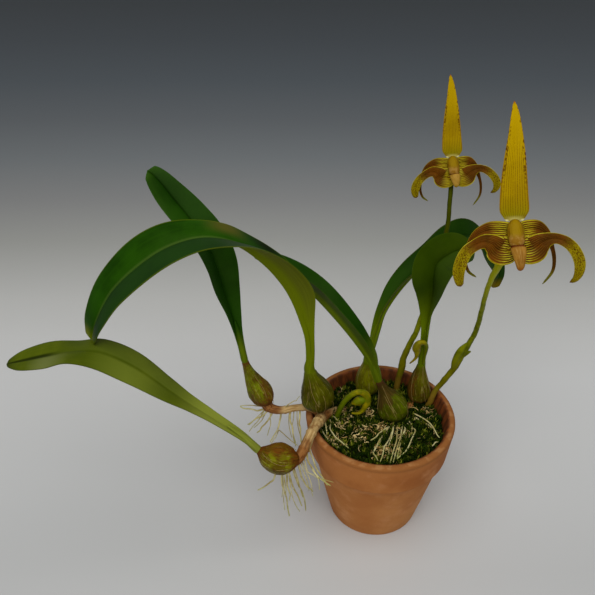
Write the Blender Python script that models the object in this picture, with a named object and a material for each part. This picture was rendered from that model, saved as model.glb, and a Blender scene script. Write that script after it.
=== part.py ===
"""A potted orchid, Bulbophyllum lobbii, in an 11 cm clay pot.

One creeping rhizome crosses the moss and climbs over the left rim. It carries six
pseudobulbs, each with one leaf, two flower stalks with a bloom each, and two buds.
The frame has +Z up, +X to the right and +Y to the back, with its origin in the middle
of the pot's foot. Lengths here are in millimetres and become metres in a finished mesh.
"""
import math

import bmesh
import bpy
import numpy as np
from mathutils import Matrix, Vector

MM = 0.001
GAP = 0.3  # air between two pieces that touch on the real plant
SOCKET = 0.45  # growth of a piece that cuts its own hole, which leaves the gap on a slope too
LEAST_RADIUS = 0.25  # a stem's end is never thinner
LEAST_HALF_WIDTH = 0.4  # nor is a blade's tip

# Clay pot
POT_HEIGHT = 98.0
RIM_RADIUS = 55.0
FOOT_RADIUS = 35.0
COLLAR_HEIGHT = 28.5
COLLAR_FOOT_RADIUS = 52.2
NECK_RADIUS = 49.6
INNER_RIM_RADIUS = 49.5
INNER_FLOOR_RADIUS = 30.5
FLOOR_THICKNESS = 6.0
DRAIN_RADIUS = 4.0
DRAIN_CIRCLE_RADIUS = 17.0
DRAIN_HOLES = 3
DRILL_OVERSHOOT = 5.0
FOOT_BEVEL = 1.2
COLLAR_BEVEL = 0.7
LIP_OUTER_BEVEL = 2.4
LIP_INNER_BEVEL = 1.6
POT_SIDES = 48

# Potting mix and moss
MIX_LEVEL = 87.0
MIX_EDGE_DROP = 1.0  # how much lower the moss is where it meets the clay
MIX_SWELL = 2.2
MOSS_RELIEF = 0.7
MIX_RINGS = 6

# Leaves and bulbs
LEAF_THICKNESS = 0.8
MIDRIB_THICKNESS = 1.7
STALK_STOUTNESS = 0.9
BULB_SIDES = 12
BULB_RIBS = 6
RIB_DEPTH = 0.03

COLOURS = {
    "clay": (0.50, 0.20, 0.09),
    "moss": (0.05, 0.09, 0.02),
    "rhizome": (0.33, 0.20, 0.09),
    "bulb": (0.14, 0.15, 0.02),
    "leaf": (0.04, 0.14, 0.01),
    "stalk": (0.16, 0.22, 0.03),
    "petal": (0.60, 0.38, 0.02),
    "column": (0.70, 0.40, 0.04),
    "lip": (0.60, 0.28, 0.12),
    "bud": (0.30, 0.30, 0.03),
}
ROUGHNESS = {"clay": 0.85, "moss": 0.95, "rhizome": 0.8, "leaf": 0.35}


def clear_scene():
    """Start from an empty scene."""
    for item in list(bpy.data.objects):
        bpy.data.objects.remove(item, do_unlink=True)


def material(kind):
    """The plain finish of one kind of tissue."""
    found = bpy.data.materials.get(kind)
    if found:
        return found
    finish = bpy.data.materials.new(kind)
    finish.use_nodes = True
    shader = finish.node_tree.nodes["Principled BSDF"]
    shader.inputs["Base Color"].default_value = (*COLOURS[kind], 1.0)
    shader.inputs["Roughness"].default_value = ROUGHNESS.get(kind, 0.5)
    shader.inputs["Metallic"].default_value = 0.0
    finish.diffuse_color = (*COLOURS[kind], 1.0)
    return finish


def solid(name, points, faces, kind):
    """A closed body from points in millimetres, with its faces turned outwards."""
    mesh = bpy.data.meshes.new(name)
    mesh.from_pydata([Vector(point) * MM for point in points], [], faces)
    shell = bmesh.new()
    shell.from_mesh(mesh)
    bmesh.ops.triangulate(shell, faces=[face for face in shell.faces if len(face.verts) > 4])
    bmesh.ops.recalc_face_normals(shell, faces=shell.faces)
    shell.to_mesh(mesh)
    shell.free()
    mesh.materials.append(material(kind))
    mesh.shade_smooth()
    mesh.set_sharp_from_angle(angle=math.radians(50))
    piece = bpy.data.objects.new(name, mesh)
    bpy.context.collection.objects.link(piece)
    return piece


def join_with(piece, others, operation, solver="EXACT"):
    """Fuse other bodies into a piece, or cut them out of it, and clear them away."""
    group = bpy.data.collections.new(piece.name + "_others")
    bpy.context.scene.collection.children.link(group)
    for other in others:
        bpy.context.collection.objects.unlink(other)
        group.objects.link(other)
    change = piece.modifiers.new("join", "BOOLEAN")
    change.operand_type = "COLLECTION"
    change.collection = group
    change.operation = operation
    change.solver = solver
    with bpy.context.temp_override(object=piece, active_object=piece):
        bpy.ops.object.modifier_apply(modifier=change.name)
    for other in list(group.objects):
        bpy.data.objects.remove(other, do_unlink=True)
    bpy.data.collections.remove(group)
    return piece


def smooth(keys, steps):
    """Rows along a smooth curve through the key rows, which hold a place and any widths."""
    rows = np.array(keys, float)
    rows = np.vstack([2 * rows[0] - rows[1], rows, 2 * rows[-1] - rows[-2]])
    spans = len(rows) - 3
    out = []
    for step in range(steps + 1):
        place = step / steps * spans
        first = min(int(place), spans - 1)
        t = place - first
        a, b, c, d = rows[first : first + 4]
        bend = (2 * a - 5 * b + 4 * c - d) * t * t + (3 * b - a - 3 * c + d) * t**3
        out.append(0.5 * (2 * b + (c - a) * t + bend))
    return np.array(out)


def unit(vector):
    return vector / np.linalg.norm(vector)


def tangents(places):
    """The direction of travel at each place of a route."""
    return [unit(run) for run in np.gradient(places, axis=0)]


def frames(places, facing=None):
    """Two directions across a route at each of its places, turning as little as they can.

    The first is the one nearest to the facing, which is to the back where none is given.
    """
    ways = tangents(places)
    side = np.array((0.0, 1.0, 0.0)) if abs(ways[0][1]) < 0.8 else np.array((1.0, 0.0, 0.0))
    if facing is not None:
        side = np.array(facing)
    out = []
    for way in ways:
        side = unit(side - way * side.dot(way))
        out.append((side, np.cross(way, side)))
    return out


def rings_to_solid(name, rings, kind):
    """A closed body through rings of equally many points, with flat ends."""
    count = len(rings[0])
    points = [point for ring in rings for point in ring]
    faces = []
    for row in range(len(rings) - 1):
        for i in range(count):
            j = (i + 1) % count
            low, high = row * count, (row + 1) * count
            faces.append((low + i, low + j, high + j, high + i))
    faces.append(tuple(range(count - 1, -1, -1)))
    faces.append(tuple(range((len(rings) - 1) * count, len(rings) * count)))
    return solid(name, points, faces, kind)


def tube(name, keys, kind, steps, sides=8, grow=0.0, flat=1.0, facing=None, ribs=0, rib_depth=0.0):
    """A stem along keys of (x, y, z, radius); flat squashes it along its facing."""
    rows = smooth(keys, steps)
    if grow:
        ways = tangents(rows[:, :3])
        rows[0, :3] -= ways[0] * grow
        rows[-1, :3] += ways[-1] * grow
    rings = []
    for row, (side, other) in zip(rows, frames(rows[:, :3], facing)):
        ring = []
        for i in range(sides):
            turn = 2 * math.pi * i / sides
            radius = max(row[3], LEAST_RADIUS) * (1 + rib_depth * math.cos(ribs * turn)) + grow
            ring.append(row[:3] + radius * (math.cos(turn) * flat * side + math.sin(turn) * other))
        rings.append(ring)
    return rings_to_solid(name, rings, kind)


def blade(name, keys, kind, steps, thickness, rib_thickness, across, stout=0.0):
    """A leaf or petal along keys of (x, y, z, face x, face y, face z, half width, fold).

    The face direction is the way the upper side looks, and the fold is the angle in degrees
    by which each half rises from flat. Upper and under side share one pattern of triangles.
    A stout blade is that much thicker at its stalk, and plain after a third of its length.
    """
    rows = smooth(keys, steps)
    ways = tangents(rows[:, :3])
    upper, under = [], []
    for number, (row, way) in enumerate(zip(rows, ways)):
        swell = 1 + stout * max(0.0, 1 - 3 * number / steps)
        face = unit(row[3:6] - way * row[3:6].dot(way))
        side = np.cross(face, way)
        half, fold = max(row[6], LEAST_HALF_WIDTH), math.radians(row[7])
        for u in across:
            out = math.copysign(1, u) * side * math.cos(fold) + face * math.sin(fold)
            rise = half * abs(u)
            middle = row[:3] + out * rise
            normal = face * math.cos(fold) - math.copysign(1, u) * side * math.sin(fold)
            depth = swell * (rib_thickness if u == 0 else thickness)
            upper.append(middle)
            under.append(middle - (face if u == 0 else normal) * depth)
    count = len(across)
    total = len(upper)
    faces = []
    for row in range(steps):
        for i in range(count - 1):
            a = row * count + i
            b, c, d = a + 1, a + count + 1, a + count
            faces += [(a, b, c), (a, c, d)]
            faces += [(total + a, total + c, total + b), (total + a, total + d, total + c)]
        for edge in (0, count - 1):
            a = row * count + edge
            faces.append((a, a + count, total + a + count, total + a))
    for row in (0, steps):
        for i in range(count - 1):
            a = row * count + i
            faces.append((a, a + 1, total + a + 1, total + a))
    return solid(name, upper + under, faces, kind)


def revolve(name, profile, kind):
    """A turned body from (radius, height) points that start and end on the axis."""
    shell = bmesh.new()
    points = [shell.verts.new(Vector((radius, 0, height)) * MM) for radius, height in profile]
    chain = [shell.edges.new(pair) for pair in zip(points, points[1:])]
    bmesh.ops.spin(
        shell,
        geom=points + chain,
        cent=(0, 0, 0),
        axis=(0, 0, 1),
        angle=2 * math.pi,
        steps=POT_SIDES,
        use_merge=True,
    )
    bmesh.ops.remove_doubles(shell, verts=shell.verts, dist=1e-6)
    bmesh.ops.recalc_face_normals(shell, faces=shell.faces)
    mesh = bpy.data.meshes.new(name)
    shell.to_mesh(mesh)
    shell.free()
    mesh.materials.append(material(kind))
    mesh.shade_smooth()
    mesh.set_sharp_from_angle(angle=math.radians(35))
    piece = bpy.data.objects.new(name, mesh)
    bpy.context.collection.objects.link(piece)
    return piece


def inner_radius(height):
    """The pot's inside radius at a height."""
    rise = (height - FLOOR_THICKNESS) / (POT_HEIGHT - FLOOR_THICKNESS)
    return INNER_FLOOR_RADIUS + (INNER_RIM_RADIUS - INNER_FLOOR_RADIUS) * rise


def mix_height(x, y):
    """The height of the moss: it swells in the middle and lies in low tufts."""
    swell = MIX_SWELL * (1 - (x * x + y * y) / inner_radius(MIX_LEVEL) ** 2)
    tufts = math.sin(0.42 * x + 0.9) * math.cos(0.37 * y) + math.sin(0.21 * x - 0.5 * y)
    return MIX_LEVEL + swell + MOSS_RELIEF * tufts


def make_pot():
    """The clay pot: tapered wall, deep collar, rounded lip and three drainage holes."""
    collar_foot = POT_HEIGHT - COLLAR_HEIGHT
    profile = [
        (0, 0),
        (FOOT_RADIUS - FOOT_BEVEL, 0),
        (FOOT_RADIUS, FOOT_BEVEL),
        (NECK_RADIUS, collar_foot),
        (COLLAR_FOOT_RADIUS - COLLAR_BEVEL, collar_foot),
        (COLLAR_FOOT_RADIUS, collar_foot + COLLAR_BEVEL),
        (RIM_RADIUS, POT_HEIGHT - LIP_OUTER_BEVEL),
        (RIM_RADIUS - 0.3 * LIP_OUTER_BEVEL, POT_HEIGHT - 0.3 * LIP_OUTER_BEVEL),
        (RIM_RADIUS - LIP_OUTER_BEVEL, POT_HEIGHT),
        (INNER_RIM_RADIUS + LIP_INNER_BEVEL, POT_HEIGHT),
        (INNER_RIM_RADIUS + 0.3 * LIP_INNER_BEVEL, POT_HEIGHT - 0.3 * LIP_INNER_BEVEL),
        (inner_radius(POT_HEIGHT - LIP_INNER_BEVEL), POT_HEIGHT - LIP_INNER_BEVEL),
        (INNER_FLOOR_RADIUS, FLOOR_THICKNESS),
        (0, FLOOR_THICKNESS),
    ]
    pot = revolve("pot", profile, "clay")
    drains = []
    for hole in range(DRAIN_HOLES):
        turn = 2 * math.pi * (hole + 0.25) / DRAIN_HOLES
        x, y = DRAIN_CIRCLE_RADIUS * math.cos(turn), DRAIN_CIRCLE_RADIUS * math.sin(turn)
        top = FLOOR_THICKNESS + DRILL_OVERSHOOT
        keys = [(x, y, -DRILL_OVERSHOOT, DRAIN_RADIUS), (x, y, top, DRAIN_RADIUS)]
        drains.append(tube(f"drain_{hole}", keys, "clay", 1, sides=16))
    return join_with(pot, drains, "DIFFERENCE")


def make_mix(sunk):
    """The filling of the pot with its mossy top, with plain holes for what stands in it."""
    floor, shoulder = FLOOR_THICKNESS + GAP, MIX_LEVEL - MIX_EDGE_DROP
    edge = inner_radius(shoulder) - GAP
    radii = [edge * (1 - ring / MIX_RINGS) for ring in range(MIX_RINGS)]
    rings = [[(0.0, 0.0, floor)]]
    for radius in (INNER_FLOOR_RADIUS - GAP, edge):
        rings.append([])
        for i in range(POT_SIDES):
            turn = 2 * math.pi * i / POT_SIDES
            x, y = radius * math.cos(turn), radius * math.sin(turn)
            rings[-1].append((x, y, floor if len(rings) == 2 else shoulder))
    for radius in radii[1:]:
        rings.append([])
        for i in range(POT_SIDES):
            turn = 2 * math.pi * i / POT_SIDES
            x, y = radius * math.cos(turn), radius * math.sin(turn)
            rings[-1].append((x, y, mix_height(x, y)))
    rings.append([(0.0, 0.0, mix_height(0, 0))])
    points, faces, starts = [], [], []
    for ring in rings:
        starts.append(len(points))
        points += ring
    for row in range(len(rings) - 1):
        for i in range(POT_SIDES):
            j = (i + 1) % POT_SIDES
            low, high = starts[row], starts[row + 1]
            if len(rings[row]) == 1:
                faces.append((low, high + j, high + i))
            elif len(rings[row + 1]) == 1:
                faces.append((low + i, low + j, high))
            else:
                faces.append((low + i, low + j, high + j))
                faces.append((low + i, high + j, high + i))
    mix = solid("potting_mix", points, faces, "moss")
    return join_with(mix, sunk, "DIFFERENCE")


# Pseudobulbs, as keys of (x, y, z, radius) from the foot to the neck
PSEUDOBULBS = {
    "pseudobulb_front_left": [
        (-60.2, -44, 98.5, 4.0),
        (-64.5, -45.5, 99, 8.3),
        (-73, -46.5, 100, 11.0),
        (-81, -45, 101.5, 8.8),
        (-86.5, -43, 103.5, 4.2),
        (-88.7, -42.3, 104.8, 2.9),
    ],
    "pseudobulb_back_left": [
        (-83.2, 3, 102.5, 4.0),
        (-85, 4, 107, 7.8),
        (-89, 5, 115.5, 9.4),
        (-93.5, 6, 126, 7.6),
        (-97.3, 7, 136, 4.2),
        (-99, 8, 142.5, 2.7),
    ],
    "pseudobulb_rim": [
        (-44, 1.5, 100, 5.5),
        (-44.8, 1.8, 104, 10.2),
        (-46.4, 2, 112, 12.3),
        (-48.6, 2.2, 121, 10.4),
        (-51.4, 3, 131, 5.8),
        (-52.8, 4, 138, 3.8),
    ],
    "pseudobulb_back": [
        (-6.5, 32.5, 87, 4.5),
        (-7, 32, 92, 8.0),
        (-7.6, 31.5, 100, 9.0),
        (-8.2, 31, 110, 6.8),
        (-8.6, 30.8, 118, 3.6),
        (-8.8, 30.8, 122, 2.8),
    ],
    "pseudobulb_centre": [
        (11, 6, 87.3, 5.0),
        (11, 6, 91.5, 9.8),
        (9.4, 6, 98.5, 11.4),
        (6.8, 6, 106.5, 9.2),
        (3.8, 5.8, 115, 5.4),
        (1.2, 5.6, 121, 3.3),
    ],
    "pseudobulb_right": [
        (34, 23.6, 87.3, 4.2),
        (33.2, 23.6, 92.5, 7.2),
        (32.2, 24, 101, 8.4),
        (31.2, 24.8, 111, 6.2),
        (31.5, 26, 119, 3.6),
        (31.8, 26.4, 123.5, 2.9),
    ],
}

# Leaves, as keys of (x, y, z, face x, face y, face z, half width, fold)
LEAVES = {
    "leaf_front_left": [
        (-89.8, -42.2, 105.9, 0.6, -0.2, 0.7, 3.1, 22),
        (-100, -43, 119, 0.6, -0.2, 0.7, 3.9, 20),
        (-118, -46, 139.5, 0.5, -0.2, 0.8, 5.0, 16),
        (-131, -47, 152.5, 0.2, -0.2, 1, 6.6, 8),
        (-143, -48, 165.5, 0.1, -0.2, 1, 9.4, 0),
        (-161, -49.5, 185, 0, -0.2, 1, 11.8, -8),
        (-180, -50, 197, 0, -0.05, 1, 12.6, -8),
        (-197, -50, 198.5, 0, 0.1, 1, 12.8, -2),
        (-213, -50, 196, 0, -0.15, 1, 12.2, 4),
        (-228, -50, 191.5, 0, -0.2, 1, 8.5, 6),
        (-236, -50, 189, 0, -0.3, 1, 4.0, 4),
        (-239, -50, 188, 0, -0.3, 1, 1.2, 4),
    ],
    "leaf_back_left": [
        (-99.3, 8.2, 143.2, 0.5, -0.7, 0.5, 2.7, 32),
        (-101, 10.5, 151, 0.5, -0.7, 0.5, 2.9, 34),
        (-104, 15, 163, 0.5, -0.7, 0.4, 4.2, 38),
        (-107.5, 19, 177, 0.5, -0.7, 0.3, 7.3, 38),
        (-112, 23, 194, 0.5, -0.7, 0.3, 11.0, 34),
        (-116.5, 28, 212, 0.6, -0.6, 0.4, 14.8, 32),
        (-123.5, 31, 229, 0.6, -0.7, 0.5, 15.6, 30),
        (-132.5, 33, 243.5, 0.4, -0.8, 0.5, 15.6, 26),
        (-142, 35, 258, 0.3, -0.7, 0.6, 14.0, 24),
        (-150.5, 36, 268, 0.2, -0.6, 0.7, 11.2, 20),
        (-156, 36, 273.5, 0.1, -0.5, 0.8, 8.0, 16),
        (-159, 36, 275.5, 0.1, -0.5, 0.8, 5.0, 16),
    ],
    "leaf_rim": [
        (-52.9, 4, 139.4, 0.8, 0.6, 0, 3.7, 36),
        (-52.8, 4.2, 152, 0.8, 0.6, 0, 3.8, 42),
        (-54.2, 4.5, 167, 0.8, 0.6, 0, 4.8, 54),
        (-58, 5, 181, 0.8, 0.55, 0.15, 9.0, 60),
        (-63.5, 4, 198, 0.8, 0.5, 0.3, 14.5, 58),
        (-71, 1, 215, 0.7, 0.4, 0.6, 15.5, 52),
        (-82, -5, 234, 0.4, 0.3, 0.85, 15.0, 36),
        (-97, -13, 252, 0.1, 0.1, 1, 14.5, 18),
        (-116, -19, 260, 0, -0.1, 1, 15.0, 6),
        (-136, -24, 257, -0.1, -0.35, 0.95, 16.5, 10),
        (-154, -28.5, 247, -0.3, -0.45, 0.85, 17.0, 12),
        (-172, -33, 231, -0.5, -0.5, 0.7, 14.5, 9),
        (-183, -37, 213, -0.6, -0.5, 0.6, 9.0, 10),
        (-187, -38.5, 202, -0.7, -0.5, 0.5, 5.0, 10),
        (-188, -39, 198, -0.7, -0.5, 0.5, 2.0, 10),
    ],
    "leaf_centre": [
        (0.6, 5.6, 121.8, 0.75, 0.1, 0.6, 3.8, 34),
        (-4, 6, 130, 0.75, 0.1, 0.6, 6.2, 42),
        (-12, 7.5, 144, 0.75, 0, 0.6, 10.5, 46),
        (-24, 10, 160.5, 0.75, 0, 0.6, 13.0, 46),
        (-37, 16, 177, 0.75, 0, 0.65, 13.5, 46),
        (-50, 25, 188.5, 0.7, 0, 0.7, 13.5, 44),
        (-64, 34, 195.5, 0.5, 0, 0.85, 13.5, 34),
        (-77, 41, 201, 0.4, 0, 0.9, 11.0, 26),
        (-87, 45, 204, 0.3, 0, 1, 6.5, 20),
        (-92, 47, 205.5, 0.2, 0, 1, 2.0, 16),
    ],
    "leaf_back": [
        (-8.8, 31, 123.2, -0.6, 0, 0.6, 2.5, 45),
        (-8, 31.6, 127, -0.6, 0, 0.6, 2.8, 45),
        (-5, 34, 134, -0.6, 0, 0.6, 3.4, 45),
        (-1.8, 37.5, 146, -0.6, 0, 0.6, 5.0, 45),
        (2.6, 43, 159, -0.6, 0, 0.6, 6.2, 44),
        (13, 52, 171.5, -0.6, 0, 0.7, 10.2, 42),
        (25.5, 61, 182, -0.4, 0, 0.8, 11.8, 38),
        (40, 71, 191.5, -0.2, 0, 0.9, 11.2, 34),
        (55, 80, 199, 0, -0.1, 1, 12.8, 30),
        (69, 87, 198.5, 0.3, -0.2, 0.9, 13.5, 22),
        (84, 93.5, 181, 0.6, -0.4, 0.7, 11.0, 14),
        (94, 97, 162, 0.8, -0.4, 0.5, 8.0, 10),
        (99, 99, 148, 0.8, -0.4, 0.4, 4.5, 10),
        (100, 99.5, 144.5, 0.8, -0.4, 0.4, 2.0, 10),
    ],
    "leaf_right": [
        (31.8, 26.6, 124.3, -0.45, -0.85, 0.2, 2.9, 32),
        (32, 27, 140, -0.45, -0.85, 0.2, 3.1, 38),
        (32.6, 27.5, 158, -0.7, -0.7, 0.2, 4.6, 48),
        (33.4, 28, 174, -0.7, -0.7, 0.2, 8.4, 50),
        (33.6, 28, 188, -0.6, -0.75, 0.2, 12.5, 44),
        (33, 29, 199.5, -0.45, -0.8, 0.3, 15.6, 36),
        (35, 33, 207.5, -0.2, -0.8, 0.5, 16.4, 24),
        (43, 39, 211, 0.1, -0.7, 0.7, 15.4, 12),
        (51.5, 44, 212, 0.4, -0.6, 0.8, 12.5, 8),
        (60, 47.5, 209, 0.5, -0.5, 0.7, 8.0, 8),
        (64.5, 49.5, 206, 0.5, -0.5, 0.6, 3.0, 8),
    ],
}

# Rhizome runners, as keys of (x, y, z, radius)
RUNNERS = {
    "over_front_rim": [
        (-43, 0, 94.5, 4.2),
        (-44.5, -8, 99.5, 4.4),
        (-47, -16, 102.8, 4.4),
        (-50.5, -23, 104, 4.5),
        (-55.3, -33, 102.5, 4.5),
        (-59.5, -40, 95.5, 4.4),
        (-63.5, -45, 88.5, 4.0),
        (-70, -46, 85.3, 3.4),
        (-77, -46, 85.5, 2.6),
    ],
    "over_left_rim": [
        (-43, 0, 94.5, 3.2),
        (-50, 0.5, 101.3, 2.7),
        (-57, 1.2, 102.2, 2.5),
        (-64, 1.2, 101.6, 2.5),
        (-73, 1, 100, 2.6),
        (-80, 2, 98.3, 3.0),
        (-86, 3, 98.5, 2.6),
    ],
    "across_the_moss": [
        (-43, 0, 94.5, 4.0),
        (-38.5, 6, 91, 3.4),
        (-29, 13, 87.5, 3.0),
        (-14, 13, 86.5, 3.0),
        (0, 8, 84.5, 3.0),
        (10, 7, 83.6, 3.0),
        (18, 11, 85.6, 3.2),
        (24, 16.5, 87.4, 3.8),
        (30, 22, 84.6, 3.2),
        (36, 26, 83.6, 2.8),
    ],
    "to_the_back_bulb": [
        (-14, 13, 86.5, 2.8),
        (-10, 20, 85.4, 2.8),
        (-7, 30, 83.4, 2.8),
        (-6, 36, 83.4, 2.2),
    ],
}

# Roots, as keys of (x, y, z); those in the pot start inside a runner and then lie on the
# moss, so their later keys are (x, y) only
HANGING_ROOTS = [
    [(-74, -46, 85), (-78, -46, 78), (-84, -45, 70), (-90, -44, 64)],
    [(-72, -46, 85), (-72, -46, 72), (-69, -45, 56), (-67, -45, 36)],
    [(-70, -46, 85), (-68.5, -47, 73), (-66.5, -46, 62), (-67, -45, 54)],
    [(-68, -46, 86), (-65, -47, 74), (-61, -47, 62), (-58, -47, 50)],
    [(-65, -45, 87), (-61.5, -46, 76), (-58, -45, 64), (-55, -42, 38)],
    [(-62, -43, 91), (-58.5, -45, 80), (-54, -46, 70), (-50, -47, 66)],
    [(-56, -35, 101), (-54.5, -42, 93), (-49, -51, 90), (-38, -57, 84)],
    [(-50.5, -24, 102), (-52.5, -31, 92), (-48, -41, 84), (-40, -50, 76)],
    [(-84, 2.5, 98), (-91, 2, 98), (-97, 2.5, 99.5), (-104, 3, 101.5)],
    [(-82, 2.5, 97.5), (-88, 1, 93), (-94, 0, 90), (-98, 0, 85)],
    [(-79, 2, 97.5), (-83, 0.5, 90), (-88, -1, 84), (-92, -2, 79)],
    [(-73.5, 1, 98.5), (-74.5, -1, 90), (-77.5, -3, 80), (-82, -5, 72)],
    [(-66, 1.2, 100), (-66.5, -3, 92), (-64.5, -8, 84), (-62.5, -10, 76)],
    [(-59.5, 1.2, 100.2), (-60, -6, 93), (-59, -11, 86), (-58.5, -14, 81)],
]
MOSS_ROOTS = [
    [(-42, -1, 94.5), (-39.5, -14), (-34, -24), (-24, -32)],
    [(11, 7.3, 83.8), (9, -10), (5, -24), (2, -38)],
    [(8, 7.2, 83.8), (4, -9), (-1, -20), (-7, -30)],
    [(14, 8.6, 84.4), (18, -9), (13, -22), (9, -36)],
    [(17, 10.3, 85.2), (23, -4), (22, -14), (15, -24)],
    [(20, 12.8, 86), (28, 3), (36, -4), (42, -12)],
]
HANGING_ROOT_RADIUS = 0.75
MOSS_ROOT_RADIUS = 0.9
MOSS_ROOT_LIFT = 0.4  # how far a root's middle lies above the moss

# Flower stalks and buds, as keys of (x, y, z, radius)
STALKS = {
    "stalk_front": [
        (38.2, 19, 83.5, 2.2),
        (38.8, 18, 88, 2.2),
        (40, 17, 93, 2.2),
        (41.2, 17.4, 97.5, 2.2),
        (42.4, 18, 101, 2.1),
        (45, 19, 106.2, 2.0),
        (49.4, 20, 112.7, 2.1),
        (56, 21, 125, 2.3),
        (60.4, 20.5, 139.6, 2.2),
        (63.2, 17.5, 153, 1.9),
        (64.5, 14, 166, 1.8),
        (63, 6, 186, 1.7),
        (60, -6, 210, 1.6),
        (58, -18, 230, 1.6),
        (57.4, -28, 246, 1.7),
        (58.6, -33.8, 256, 2.0),
        (59.4, -37.6, 261.4, 2.0),
        (59.4, -42.9, 266.2, 1.9),
    ],
    "stalk_back": [
        (15, 34, 80, 2.4),
        (16, 34, 87, 2.4),
        (18, 35, 107, 2.3),
        (20, 36, 122, 2.4),
        (25, 39, 135, 2.1),
        (29, 42, 145, 2.0),
        (36, 48, 175, 1.8),
        (42, 54, 202, 1.7),
        (45, 60, 223, 1.6),
        (46, 68, 240, 1.6),
        (46.8, 74, 249, 1.8),
        (47, 74.2, 252.4, 1.8),
    ],
}
SHEATHS = {
    "stalk_front": [
        [(54, 20.5, 121.5, 1.2), (55, 20, 131, 2.6), (57.5, 19.5, 141, 2.7), (61, 18, 150, 0.8)],
        [(46.5, 19.5, 108.5, 1.4), (49.5, 20, 113.7, 2.2), (53.5, 20.5, 118.8, 0.8)],
        [(59, 20.5, 134, 1.4), (62.3, 20, 138.5, 1.6), (65, 19.5, 140.7, 0.6)],
    ],
    "stalk_back": [
        [(17, 34, 100, 1.6), (19, 34.5, 112, 2.6), (20.5, 35.5, 121, 1.2)],
    ],
}
BUDS = {
    "bud_low": [
        [
            (-31.5, 4, 86, 2.0),
            (-31, 4, 93, 2.0),
            (-28, 4, 102, 2.0),
            (-23, 4, 110.5, 2.1),
            (-17.8, 4, 114.6, 2.2),
            (-12.5, 4, 113.6, 2.6),
            (-10, 3.6, 109.5, 3.2),
            (-10.6, 2.6, 104.5, 3.0),
            (-12.6, 1.6, 99.6, 1.8),
            (-16, 0.8, 96.6, 1.2),
            (-21.5, 0.6, 97, 0.5),
        ],
        [(-11, 3.4, 110, 2.4), (-14.5, 3, 107.5, 3.6), (-18.5, 2.6, 106, 2.8), (-21.5, 2.4, 105, 0.8)],
    ],
    "bud_right": [
        [
            (34.6, 22.6, 124.6, 1.2),
            (34.8, 22, 134, 1.2),
            (34, 20.5, 144, 1.3),
            (30.5, 20.5, 148.6, 1.4),
            (26.5, 20, 149, 1.8),
            (24.2, 19.6, 145.5, 2.4),
            (25.5, 19, 140.5, 1.8),
            (25.2, 18.4, 135, 1.1),
            (21, 18, 130, 0.5),
        ],
    ],
}

# Bloom in its own frame: x to the right, y to the back, z along the upright sepal,
# as keys of (x, y, z, half width, fold)
UPRIGHT_SEPAL = [
    (0, 0.9, 7.9, 3.6, 6),
    (0, 1.3, 10.4, 6.4, 6),
    (0, 1.5, 13.4, 8.3, 6),
    (0, 1.7, 21, 8.2, 7),
    (0.3, 1.6, 32, 7.5, 8),
    (0.8, 1.0, 44, 6.2, 10),
    (1.1, 0.2, 55, 4.3, 12),
    (1.0, -0.6, 64.5, 2.5, 12),
    (0.5, -1.2, 72.4, 0.6, 8),
]
SIDE_SEPAL_RIGHT = [
    (0.9, -0.9, -8.6, 5.6, 4),
    (4.5, -0.7, -8.8, 7.6, 6),
    (9.5, -0.8, -8.0, 8.2, 8),
    (13.6, -2.0, -5.0, 6.2, 10),
    (17.2, -2.8, -3.2, 4.0, 12),
    (21.5, -3.4, -2.9, 3.0, 12),
    (26.5, -3.8, -5.1, 3.1, 12),
    (30.8, -3.6, -9.6, 3.2, 12),
    (33.4, -3.0, -15.6, 3.2, 12),
    (33.6, -2.0, -21.2, 2.8, 12),
    (31.8, -1.2, -25.4, 1.8, 10),
    (28.8, -1.0, -27.4, 0.6, 6),
]
SIDE_SEPAL_LEFT = [
    (-0.7, -0.9, -8.6, 5.6, 4),
    (-4.5, -0.7, -8.8, 7.6, 6),
    (-9, -0.8, -8.0, 8.0, 8),
    (-12.8, -2.0, -4.6, 5.8, 10),
    (-17, -2.8, -3.0, 4.2, 12),
    (-22, -3.4, -4.6, 3.4, 12),
    (-27, -3.8, -8.2, 3.5, 12),
    (-30, -3.4, -13.6, 3.6, 12),
    (-31.4, -2.6, -19.2, 3.4, 12),
    (-31.2, -1.8, -24, 2.7, 10),
    (-30.2, -1.2, -27.6, 1.6, 6),
]
PETAL_RIGHT = [
    (2.5, -0.4, 3.4, 2.4, 4),
    (8, 2.6, 4.2, 3.9, 8),
    (13, 4.0, 3.4, 4.0, 10),
    (18, 6.0, -0.6, 2.8, 12),
    (21.4, 7.6, -7.6, 1.4, 12),
    (22.7, 7.8, -14.6, 1.1, 10),
    (21.3, 6.6, -21.6, 0.9, 8),
    (15.6, 4.6, -28.2, 0.5, 4),
]
PETAL_LEFT = [
    (-2.8, -0.4, 3.4, 2.4, 4),
    (-8.5, 2.6, 4.2, 3.9, 8),
    (-14, 4.0, 3.6, 4.0, 10),
    (-20, 6.0, 0.2, 3.2, 12),
    (-24.8, 7.6, -6.6, 1.6, 12),
    (-26.4, 7.8, -13.6, 1.1, 10),
    (-25, 6.6, -19.6, 0.9, 8),
    (-21, 4.6, -23, 0.5, 4),
]
# Keys of (x, y, z, half width)
COLUMN = [
    (-0.2, -1.1, 8.6, 1.6),
    (-0.2, -1.8, 4.4, 2.5),
    (-0.1, -3.2, 0.6, 3.0),
    (0.1, -4.4, -3.2, 2.9),
    (0.2, -4.9, -5.0, 2.3),
]
LIP = [
    (0.9, -4.7, -6.4, 2.8),
    (1.0, -6.0, -8.6, 4.1),
    (1.2, -7.0, -12.6, 3.2),
    (1.4, -6.8, -16.6, 2.2),
    (1.5, -5.8, -20, 0.9),
]
SEPAL_THICKNESS = 0.7
SEPAL_RIB = 1.0

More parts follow.
